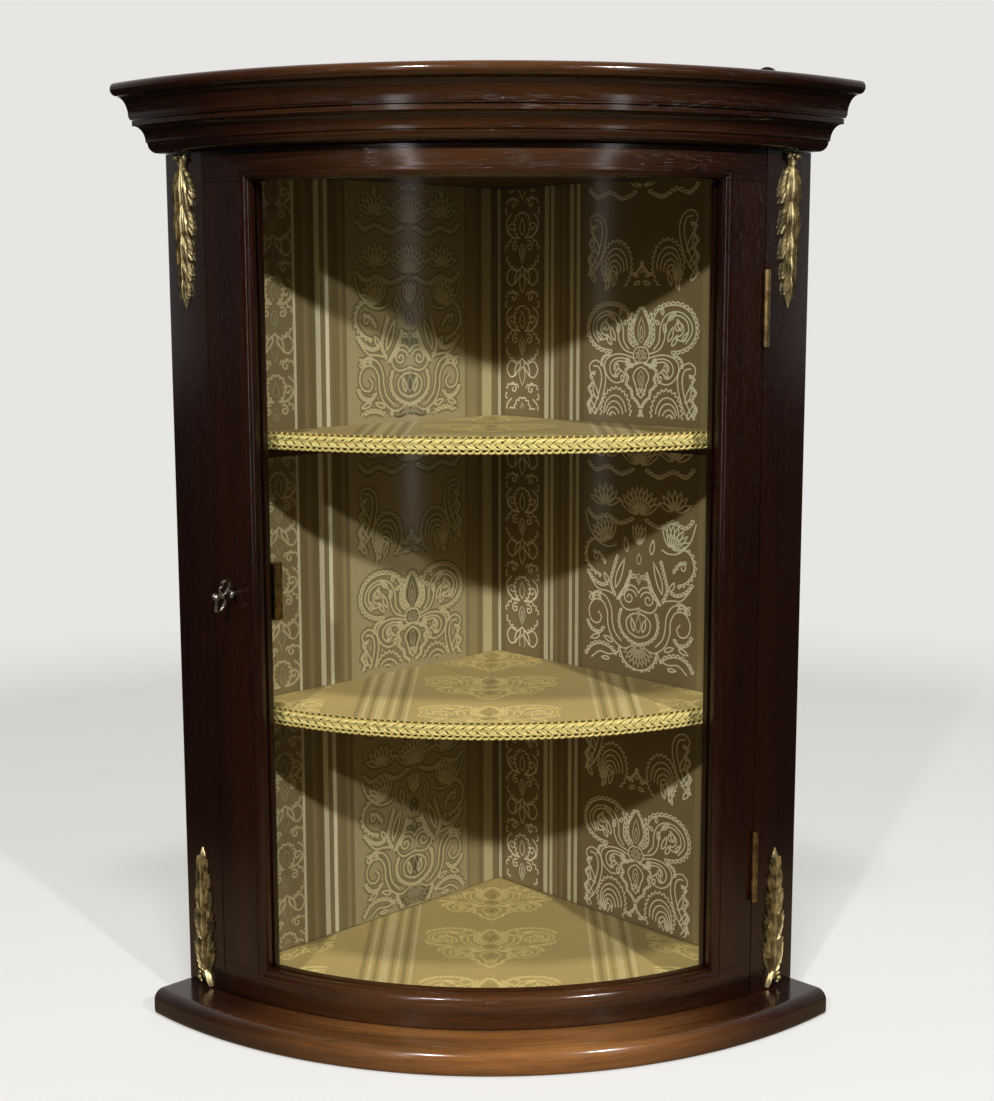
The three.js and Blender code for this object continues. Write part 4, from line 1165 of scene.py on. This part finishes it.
flower = about_rosette(flower)
crook_and_shell = about_rosette(crook) + shell
whole = flower + crook_and_shell + palmette + lowered(palmette, 44) + lowered(urn, 108)
whole += lowered(palmette, 212) + lowered(crook_and_shell, 324)
right_bands = [(whole, PATTERN_REPEAT, 197.5, 1.0, 66, 485.5), (narrow, NARROW_REPEAT, 52.4, 1.25, 22, 210)]
left_bands = [(whole, PATTERN_REPEAT, 122.5, 1.0, 67, 697.8), (narrow, NARROW_REPEAT, 273, 1.2, 20, 250)]
right_figure = wall_pattern("pattern_right", "right", right_bands, 1.35, 0.22, CREAM_THREAD)
left_shapes = wall_pattern("pattern_left_shapes", "left", left_bands[:1], 6.2, 0.08, OLIVE_THREAD)
left_figure = wall_pattern("pattern_left", "left", left_bands, 1.8, 0.2, CREAM_THREAD_PAINTED_SHADE)


# %% Pattern on the shelves and the floor
def level_pattern(name, radius, foot):
    """A row of flowers in the middle of a level, and one to the left and right."""
    lines = []
    for centre, scale, shift in ((0, 1.0, 0), (-178, 0.8, 30), (178, 0.8, 30)):
        lines += repeated(flower, centre, scale, -400, -100, 110, shift - (radius - 26) - ROSETTE * scale)

    def lay(x, y, lift):
        return (x, y, foot + LEVEL_FACE + level_swell(x, y, foot) + lift)

    def allowed(x, y):
        along_left, along_right = (-y - x) * DIAGONAL, (x - y) * DIAGONAL
        band = abs(x) < 60 or 140 < abs(x)
        return along_right > 24 and along_left > 14 and band and math.hypot(x, y) < radius - 2

    return solid(name, ribbons(lines, 1.5, 0.2, lay, allowed), GOLD_THREAD, "carcase", crease=80)


for node, (cloth, area) in level_cloths.items():
    name, _, _, radius, foot = LEVELS[node]
    figure = level_pattern(name.replace("damask", "pattern"), radius, foot)
    side = (radius - 11.9) * MM
    rests_on = "floor_board" if node == "floor_cloth" else name.replace("shelf_damask", "shelf")
print("pattern laid on the walls, the shelves and the floor")

# %% [markdown]
# The boards that nobody sees are plain sawn wood, darkened by age, with saw marks across the grain. The
# brass of hinges and lock is dull brown in the hollows and bright where it rubs, the bolt and the key are
# steel, and the plates that carry the cabinet are blackened iron.

# %% Board wood
def board_wood(name, along, across, depth):
    """Sawn wood; the functions pick the coordinates along the grain, across it and through the board."""
    finish = Finish(name)
    place = Place(finish)
    along, across, depth = along(place), across(place), depth(place)
    growth = finish.vector(along * 0.012, across * 0.16, depth * 0.16)
    ring = finish.speckle(growth, 1.0, detail=5.0, roughness=0.6)
    fibre = finish.speckle(finish.vector(along * 0.05, across * 1.4, depth), 1.0, detail=2.0)
    saw = (along * 1.7 + ring * 4).wave()
    wood = finish.mix(ring.ramp(0.3, 0.7), (0.050, 0.022, 0.010), (0.125, 0.062, 0.030))
    wood = finish.mix(place.cloud(0.012).ramp(0.45, 0.75) * 0.6, wood, (0.022, 0.011, 0.007))
    finish.set(Base_Color=wood, Roughness=0.55 + fibre * 0.25, Specular_IOR_Level=0.3)
    finish.set(Normal=finish.relief(fibre * 0.7 + saw * 0.3, 0.0002, strength=0.6))
    return finish.material


def metal(name, dark, bright, roughness, metallic=1.0):
    """Rubbed metal: dark where tarnish stays, bright where it is touched."""
    finish = Finish(name)
    place = Place(finish)
    cloud = place.cloud(0.105, detail=4.0, roughness=0.65)
    grit = place.cloud(1.75)
    tone = finish.mix(cloud.ramp(0.35, 0.65) * 0.8 + grit * 0.2, dark, bright)
    finish.set(Base_Color=tone, Metallic=metallic, Roughness=roughness + cloud * 0.18 - grit * 0.08)
    finish.set(Normal=finish.relief(grit * 0.6 + cloud * 0.4, 0.00006, strength=0.5))
    return finish.material


LEFT_BOARD_WOOD = board_wood("board_left", lambda p: p.z, lambda p: p.along_left, lambda p: p.along_right)
RIGHT_BOARD_WOOD = board_wood("board_right", lambda p: p.z, lambda p: p.along_right, lambda p: p.along_left)
LEVEL_BOARD_WOOD = board_wood("board_level", lambda p: p.x, lambda p: p.front, lambda p: p.z)
AGED_BRASS = metal("aged_brass", (0.10, 0.062, 0.028), (0.40, 0.27, 0.115), 0.30)
GILT = metal("gilt_brass", (0.13, 0.098, 0.042), (0.62, 0.50, 0.25), 0.33, metallic=0.82)
STEEL = metal("bolt_steel", (0.12, 0.105, 0.09), (0.42, 0.39, 0.35), 0.3)
DARK_STEEL = metal("key_steel", (0.10, 0.09, 0.078), (0.52, 0.48, 0.42), 0.24)
IRON = metal("plate_iron", (0.018, 0.016, 0.015), (0.075, 0.068, 0.06), 0.48)

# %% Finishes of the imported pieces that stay
STARTS_OF_NAMES = {
    AGED_BRASS: ("hinge_", "lock_case", "lock_keep"),
    STEEL: ("lock_bolt",),
    IRON: ("hanging_plate",),
    LEFT_BOARD_WOOD: ("wall_left", "cornice_back_left", "batten_left"),
    RIGHT_BOARD_WOOD: ("wall_right", "cornice_back_right", "batten_right"),
    LEVEL_BOARD_WOOD: ("floor_board", "top_board"),
    RAIL_WOOD: ("shelf_lower", "shelf_upper"),
}
for name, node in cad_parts.items():
    for finish, starts in STARTS_OF_NAMES.items():
        if name.startswith(starts):
            node.data.materials.clear()
            node.data.materials.append(finish)
print("packed pieces finished:", sum(not node.hide_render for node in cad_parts.values()))

# %% [markdown]
# Each shelf's front edge is hidden by gimp, a flat braid 16 mm high. Gimp is made of stiff round cord: one
# cord throws a row of bead-like loops along the lower edge, a thinner one does so along the upper edge, and
# between them three strands of three cords each are plaited like hair. So the braid is built the same way,
# as tubes along looping paths on the bow, over a thin woven tape. No two loops are quite alike, as the
# cords are laid by hand.

# %% Finishes of the gimp
BRAID_RADIUS = 321.0
gimp = Finish("gold_gimp")
gimp_place = Place(gimp)
twist = (gimp_place.bow * 6 + gimp_place.z * 9).wave()
wear = gimp_place.bow_cloud(0.25)
# painted shade: the braid darkens with depth towards its tape, as shade between the cords, and is lightest on
# the outermost cords
cord_crown_painted_light = gimp_place.radius.ramp(BRAID_RADIUS, BRAID_RADIUS + 2.9)
gold = gimp.mix(cord_crown_painted_light, (0.34, 0.21, 0.03), (1.0, 0.86, 0.36))
tone = gimp.mix(twist * 0.3 + wear * 0.2, gold, (0.42, 0.275, 0.05))
gimp.set(Base_Color=tone, Roughness=0.45 + wear * 0.2, Specular_IOR_Level=0.5)
gimp.set(Normal=gimp.relief(twist, 0.00012, strength=0.6))

tape = Finish("gimp_tape")
rib = (Place(tape).bow * 4.2).wave()
tape.set(Base_Color=tape.mix(rib, (0.17, 0.105, 0.024), (0.09, 0.055, 0.012)), Roughness=0.8)
tape.set(Normal=tape.relief(rib, 0.0002))
print("finishes of the gimp and its tape")


# %% Gimp along a shelf
def tube(path, radius):
    """A round cord along a path of points in mm."""
    rings = []
    spots = [Vector(spot) for spot in path]
    for i, spot in enumerate(spots):
        along = (spots[min(i + 1, len(spots) - 1)] - spots[max(i - 1, 0)]).normalized()
        out = Vector((spot.x, spot.y, 0)).normalized()
        across = along.cross(out).normalized()
        out = across.cross(along).normalized()
        rings.append([tuple(spot + (out * math.cos(turn) + across * math.sin(turn)) * radius)
                      for turn in wheel(6)])
    return joined(rings)


LOOP_PITCH, LOOP_STEPS, LOOP_SWING = 5.6, 14, 1.4
PLAIT_PITCH, PLAIT_STEPS, PLAIT_STRANDS = 24.0, 28, 3
PLAIT_CORD = 0.66
LOOPED_CORDS = {"beads": (-5.45, 1.4, 1.2), "picots": (5.15, 1.2, 0.85)}  # middle height, reach and radius
HALF_TAPE = 6.0


def shelf_gimp(level, middle):
    """The tape, the two looped cords and the three strands of one shelf; middle is the braid's mid height."""
    start = (-QUARTER + math.asin(22.0 / BRAID_RADIUS)) * 0.985
    end = (QUARTER - math.asin(13.0 / BRAID_RADIUS)) * 0.985
    length = (end - start) * BRAID_RADIUS

    def on_bow(run, rise, out):
        return polar(BRAID_RADIUS + out, start + run / BRAID_RADIUS, middle + rise)

    def held_on_bow(run, rise, out):
        return on_bow(min(max(run, 0.0), length), rise, out)

    def by_hand(run, row):
        return 0.5 * noise.noise(Vector((run, row * 1.7, middle)))

    def cord_piece(name, shape):
        return solid(f"gimp_{name}_{level}", shape, gimp.material, "carcase", crease=60)

    for part, (rise, reach, radius) in LOOPED_CORDS.items():
        path = []
        for i in range(int(length / LOOP_PITCH * LOOP_STEPS)):
            turn = 2 * math.pi * i / LOOP_STEPS
            run = LOOP_PITCH * i / LOOP_STEPS + LOOP_SWING * math.sin(turn) + by_hand(i * 0.07, rise)
            path.append(held_on_bow(run, rise - reach * math.cos(turn), 0.7 + 0.35 * math.sin(turn)))
        cord_piece(part, tube(path, radius))
    for k in range(PLAIT_STRANDS):
        cords = []
        for cord in (-1, 0, 1):
            path = []
            for i in range(int(length / PLAIT_PITCH * PLAIT_STEPS)):
                run = PLAIT_PITCH * i / PLAIT_STEPS
                turn = 2 * math.pi * (i / PLAIT_STEPS + k / PLAIT_STRANDS)
                rise = 3.7 * math.sin(turn) + by_hand(run * 0.3, 5 * k + cord)
                out = 1.25 + 0.8 * math.sin(2 * turn) + by_hand(run * 0.3, 9 * k + cord)
                path.append(held_on_bow(run + 2.0 * cord, rise, out))
            cords.append(tube(path, PLAIT_CORD))
        cord_piece(f"plait_{k + 1}", gather(cords))
    rows = []
    for rise in spread(-HALF_TAPE, HALF_TAPE, 1.0):
        rows.append([on_bow(run, rise, -0.5 + 0.05 * math.sin(run * 2)) for run in spread(0, length, 2.0)])
    backing = solid(f"gimp_tape_{level}", grid_sheet(rows, (0, 0.2, 0)), tape.material, "carcase",
                    [f"braid_{level}"])
    return length


for level, middle in (("lower", 255.5), ("upper", 483.0)):
    print("gimp on the", level, "shelf, mm long:", round(shelf_gimp(level, middle), 1))

# %% [markdown]
# The four mounts are castings of gilt brass: a spray of long leaves, laid over each other in five tiers,
# whose edges are chased into fine teeth. The upper pair hangs from a knot with two buds, and the lower pair
# grows from two scroll feet on the base. A caster's pattern would be carved leaf by leaf, and so is this
# one: every leaf and every tooth is a blade with a ridge along its middle, set like the barbs of a feather.
# All of it is drawn flat, in mm sideways, along and out, and is then laid on the bow.

# %% Blades and beads
RIDGE = [(-1, 0.0), (-0.9, 0.42), (-0.45, 0.60), (0, 1.0), (0.45, 0.60), (0.9, 0.42), (1, 0.0)]
BLADE_RINGS = 9


def blade(*path):
    """A ridged leaf along a path, whose points are (sideways, along, half width, height)."""
    rings = []
    for i in range(BLADE_RINGS):
        place = i / (BLADE_RINGS - 1) * (len(path) - 1)
        k = min(int(place), len(path) - 2)
        a, b, half, rise = (near + (far - near) * (place - k) for near, far in zip(path[k], path[k + 1]))
        heading = math.atan2(path[k + 1][1] - path[k][1], path[k + 1][0] - path[k][0])
        rings.append([(a - side * half * math.sin(heading), b + side * half * math.cos(heading), share * rise)
                      for side, share in RIDGE])
    return joined(rings)


def bead(a, b, out, radius, tall=1.0):
    """A small ball, or an egg if tall is above 1."""
    rings = []
    for i in range(1, 6):
        down = math.pi * i / 6
        reach, height = radius * math.sin(down), out + radius * math.cos(down)
        rings.append([(a + reach * math.cos(spin), b + reach * tall * math.sin(spin), height)
                      for spin in wheel(8)])
    return joined(rings)


# %% Leaf mounts
MOUNT_LENGTH = 121
TIERS = [(11, 33, 12.6), (38, 29, 12.0), (61, 25, 10.4), (80, 21, 8.6), (95, 18, 6.4)]
TEETH = [(0.62, 0.26), (0.84, 0.42), (0.96, 0.58), (1.0, 0.74), (0.90, 0.90)]
INNER_LEAVES = [(0.58, 1.02), (0.28, 0.84)]
MOUNT_ANGLES = {"left": math.radians(-41.36), "right": math.radians(40.89)}
MOUNT_RADIUS = 362.3
MOUNT_TOP, MOUNT_FOOT = 708.6, 22.4


def leaf_tier(foot, length, width):
    """The teeth of both edges, like barbs, then two inner leaves a side and the ridge of the middle."""
    parts = []
    for side in (1, -1):
        edge = side * width
        for k, (share, reach) in enumerate(TEETH):
            start, tip = foot + (0.02 + 0.11 * k) * length, foot + reach * length
            parts.append(blade((0.25 * share * edge, start, 0.08 * width, 1.8),
                               (0.72 * share * edge, start + 0.45 * (tip - start), 0.115 * width, 3.5),
                               (share * edge, tip, 0.35, 2.4)))
        for share, end in INNER_LEAVES:
            parts.append(blade((side * 0.5, foot, 0.07 * width, 2.2),
                               (0.8 * share * edge, foot + 0.5 * end * length, 0.115 * width, 4.3),
                               (share * edge, foot + end * length, 0.3, 3.6)))
    parts.append(blade((0, foot - 1, 1.4, 3.2), (0, foot + 0.5 * length, 2.2, 4.8),
                       (0, foot + length, 0.5, 3.8)))
    return parts


def leaf_spray():
    """The tiers, the tip and the two thin leaves below them all, growing along +b from 11 mm."""
    parts = []
    for tier in reversed(TIERS):
        parts += leaf_tier(*tier)
    parts.append(blade((0, 98, 3.0, 2.2), (0, 106, 5.0, 3.0), (0, 114, 3.6, 2.6),
                       (0, MOUNT_LENGTH, 0.5, 1.0)))
    for side in (1, -1):
        parts.append(blade((0, 11, 2.4, 1.2), (side * 0.3, 30, 7.8, 1.5), (side * 0.4, 60, 6.4, 1.5),
                           (0, 100, 3.2, 1.2)))
    return parts


def knot():
    """The root of an upper mount, with two buds."""
    parts = [blade((0, 14, 2.6, 3.4), (0, 9, 1.7, 3.6), (0, 4, 2.4, 2.8))]
    for side in (1, -1):
        parts += [bead(side * 5.0, 4.6, 2.4, 2.7, 1.1), bead(side * 5.6, 1.9, 2.0, 1.5)]
        parts.append(blade((side * 1.0, 12, 1.3, 2.8), (side * 3.6, 8, 1.2, 3.0), (side * 5.2, 5, 1.0, 2.6)))
    return parts + [bead(0, 3.2, 2.6, 1.9)]


def scroll_feet(side):
    """The root of a lower mount: a long foot on one side, a short one with three beads on the other."""
    return [
        blade((0, 15, 2.4, 3.6), (0, 10, 2.2, 3.6), (0, 7, 2.8, 3.0)),
        blade((side * 1.2, 13, 1.8, 3.0), (side * 4.2, 9, 2.4, 4.0), (side * 6.2, 4, 2.3, 4.2),
              (side * 7.4, 0.8, 1.6, 2.8)),
        blade((-side * 1.2, 12, 1.6, 2.8), (-side * 4.4, 9, 2.0, 3.4), (-side * 6.2, 6, 1.6, 2.6)),
        bead(-side * 5.2, 10.5, 2.2, 1.9),
        bead(-side * 6.2, 6.2, 2.2, 2.2),
        bead(-side * 4.4, 3.4, 1.8, 1.6),
    ]


def leaf_mount(side, end, foot, upward, root):
    """Lays a spray and its root on the bow."""
    flat, faces = gather(leaf_spray() + root)
    angle = MOUNT_ANGLES[side]
    points = [polar(MOUNT_RADIUS + h, angle + a / MOUNT_RADIUS, foot + upward * b) for a, b, h in flat]
    solid(f"{end}_mount_{side}", (points, faces), GILT, "carcase", [f"leaf_mount_{end}_{side}"],
          crease=55)


for side in MOUNT_ANGLES:
    leaf_mount(side, "top", MOUNT_TOP, -1, knot())
    leaf_mount(side, "foot", MOUNT_FOOT, 1, scroll_feet(1 if side == "left" else -1))
print("four leaf mounts,", MOUNT_LENGTH, "mm long")

# %% [markdown]
# The key stands in its lock all the time, because it is also the door's only handle. Its bow is two rings
# of round steel wire with a small cusp on the inside, joined to a shank that ends in a ball. It hangs a
# little out of the upright, as keys do. The screws are slotted and countersunk, each a disc in two halves
# with the slot between them.

# %% Key
KEY_LEAN = math.radians(-20)
BOW_STAND = 14.0
RING_STEPS = 40
LOCK_OUT, LOCK_RIGHT = Vector(polar(1, LOCK_ANGLE, 0)), rightwards(LOCK_ANGLE)


def key_space(out, sideways, up):
    """A point in mm from the key's place on the front, turned with the key's lean."""
    turned_side = sideways * math.cos(KEY_LEAN) - up * math.sin(KEY_LEAN)
    turned_up = sideways * math.sin(KEY_LEAN) + up * math.cos(KEY_LEAN)
    return tuple(LOCK_OUT * (BOW + out) + LOCK_RIGHT * turned_side + Vector((0, 0, LOCK_HEIGHT + turned_up)))


def turned(profile):
    """A turned shape along the key's shank, from (radius, distance out) pairs."""
    return joined([[key_space(out, radius * math.cos(spin), radius * math.sin(spin)) for spin in wheel(24)]
                   for radius, out in profile])


def key_ring(up):
    """One ring of the bow: an oval with a cusp on its outer side."""
    path = []
    for turn in wheel(RING_STEPS):
        from_cusp = math.atan2(math.sin(turn - 0.35), math.cos(turn - 0.35))
        pinch = 1.0 - 0.34 * math.exp(-(from_cusp / 0.30) ** 2)
        path.append((BOW_STAND + 5.2 * pinch * math.cos(turn), up * (7.4 + 6.4 * pinch * math.sin(turn))))
    rings = []
    for i, turn in enumerate(wheel(RING_STEPS)):
        (out, rise), (x0, y0), (x1, y1) = path[i], path[i - 1], path[(i + 1) % RING_STEPS]
        heading = math.atan2(y1 - y0, x1 - x0)
        wire = 1.15 + 0.3 * math.sin(turn)
        ring = []
        for spin in wheel(10):
            lift = wire * math.cos(spin)
            ring.append(key_space(out - lift * math.sin(heading), wire * math.sin(spin),
                                  rise + lift * math.cos(heading)))
        rings.append(ring)
    return joined(rings, closed=True)


shank = [(2.0, -28.0), (2.0, 2.6), (2.5, 3.2), (3.3, 3.8), (3.3, 4.6), (2.4, 5.0), (3.0, 5.5), (2.2, 6.2),
         (1.7, 8.0), (1.8, 13.0), (2.6, 14.5), (1.9, 16.0), (1.5, 18.0)]
ball = [(1.6, 18.4), (2.5, 19.3), (2.9, 20.6), (2.9, 21.6), (2.5, 22.9), (1.5, 23.9), (0.5, 24.2)]
bit = [turned_block(LOCK_ANGLE, LOCK_HEIGHT, [BOW + low, BOW + high], [-0.9, 0.9], [reach, -1.0])
       for low, high, reach in ((-27.0, -25.4, -8.0), (-25.4, -24.0, -5.6), (-24.0, -22.6, -8.0))]
solid("cabinet_key", gather([turned(shank + ball), key_ring(1), key_ring(-1)] + bit), DARK_STEEL, "key",
      ["key"], crease=50)
print("key with two rings")

# %% Screws
HALF_SLOT = 0.13
LOCK_CASE_BACK = math.sqrt(BACK_RADIUS ** 2 - 24 ** 2) - 9.3


def screw(middle, outward, slot_lean, radius=2.4, proud=0.18):
    """A countersunk head; outward is the way that it faces."""
    facing = Vector(outward).normalized().to_track_quat("Z", "Y")
    start = math.asin(HALF_SLOT)
    halves = []
    for side in (1, -1):
        rings = []
        for height, shrink in ((-0.4, 1.0), (proud * 0.5, 1.0), (proud, 0.86)):
            ring = []
            for k in range(9):
                spin = start + (math.pi - 2 * start) * k / 8
                u = radius * shrink * math.cos(spin)
                v = side * radius * max(shrink * math.sin(spin), HALF_SLOT)
                lean_u = u * math.cos(slot_lean) - v * math.sin(slot_lean)
                lean_v = u * math.sin(slot_lean) + v * math.cos(slot_lean)
                ring.append(tuple(Vector(middle) + facing @ Vector((lean_u, lean_v, height))))
            rings.append(ring)
        halves.append(joined(rings))
    return gather(halves)


hinge_right = rightwards(HINGE_ANGLE)
for body, side in (("carcase", -1), ("door", 1)):
    screws = []
    for height in HINGE_HEIGHTS:
        for rise in (-22, 0, 22):
            reach = HINGE_RADIUS - 12 + 3 * (rise == 0)
            middle = Vector(polar(reach, HINGE_ANGLE, height + rise)) - hinge_right * side * 0.5
            screws.append(screw(middle, hinge_right * side, 0.4 + rise * 0.05, radius=2.2, proud=0.12))
    solid(f"hinge_screws_{body}", gather(screws), AGED_BRASS, body, crease=40)

screws = []
for k, (side, rise) in enumerate(((-15, 18), (19, 18), (-15, -18), (19, -18))):
    middle = LOCK_OUT * LOCK_CASE_BACK + LOCK_RIGHT * side + Vector((0, 0, LOCK_HEIGHT + rise))
    screws.append(screw(middle, -LOCK_OUT, 0.7 * k))
solid("lock_screws", gather(screws), AGED_BRASS, "door", crease=40)

screws = []
for side, along in (("left", 205), ("right", 316)):
    outward = wall_point(side, 0, -1, 0)
    for k, height in enumerate((720, 736)):
        screws.append(screw(wall_point(side, along, -2.3, height), outward, 0.5 + k, radius=2.6, proud=0.3))
solid("plate_screws", gather(screws), IRON, "carcase", crease=40)
print("screws on hinges, lock and hanging plates")

# %% [markdown]
# Last, the view layer is brought up to date.

# %% Update
bpy.context.view_layer.update()
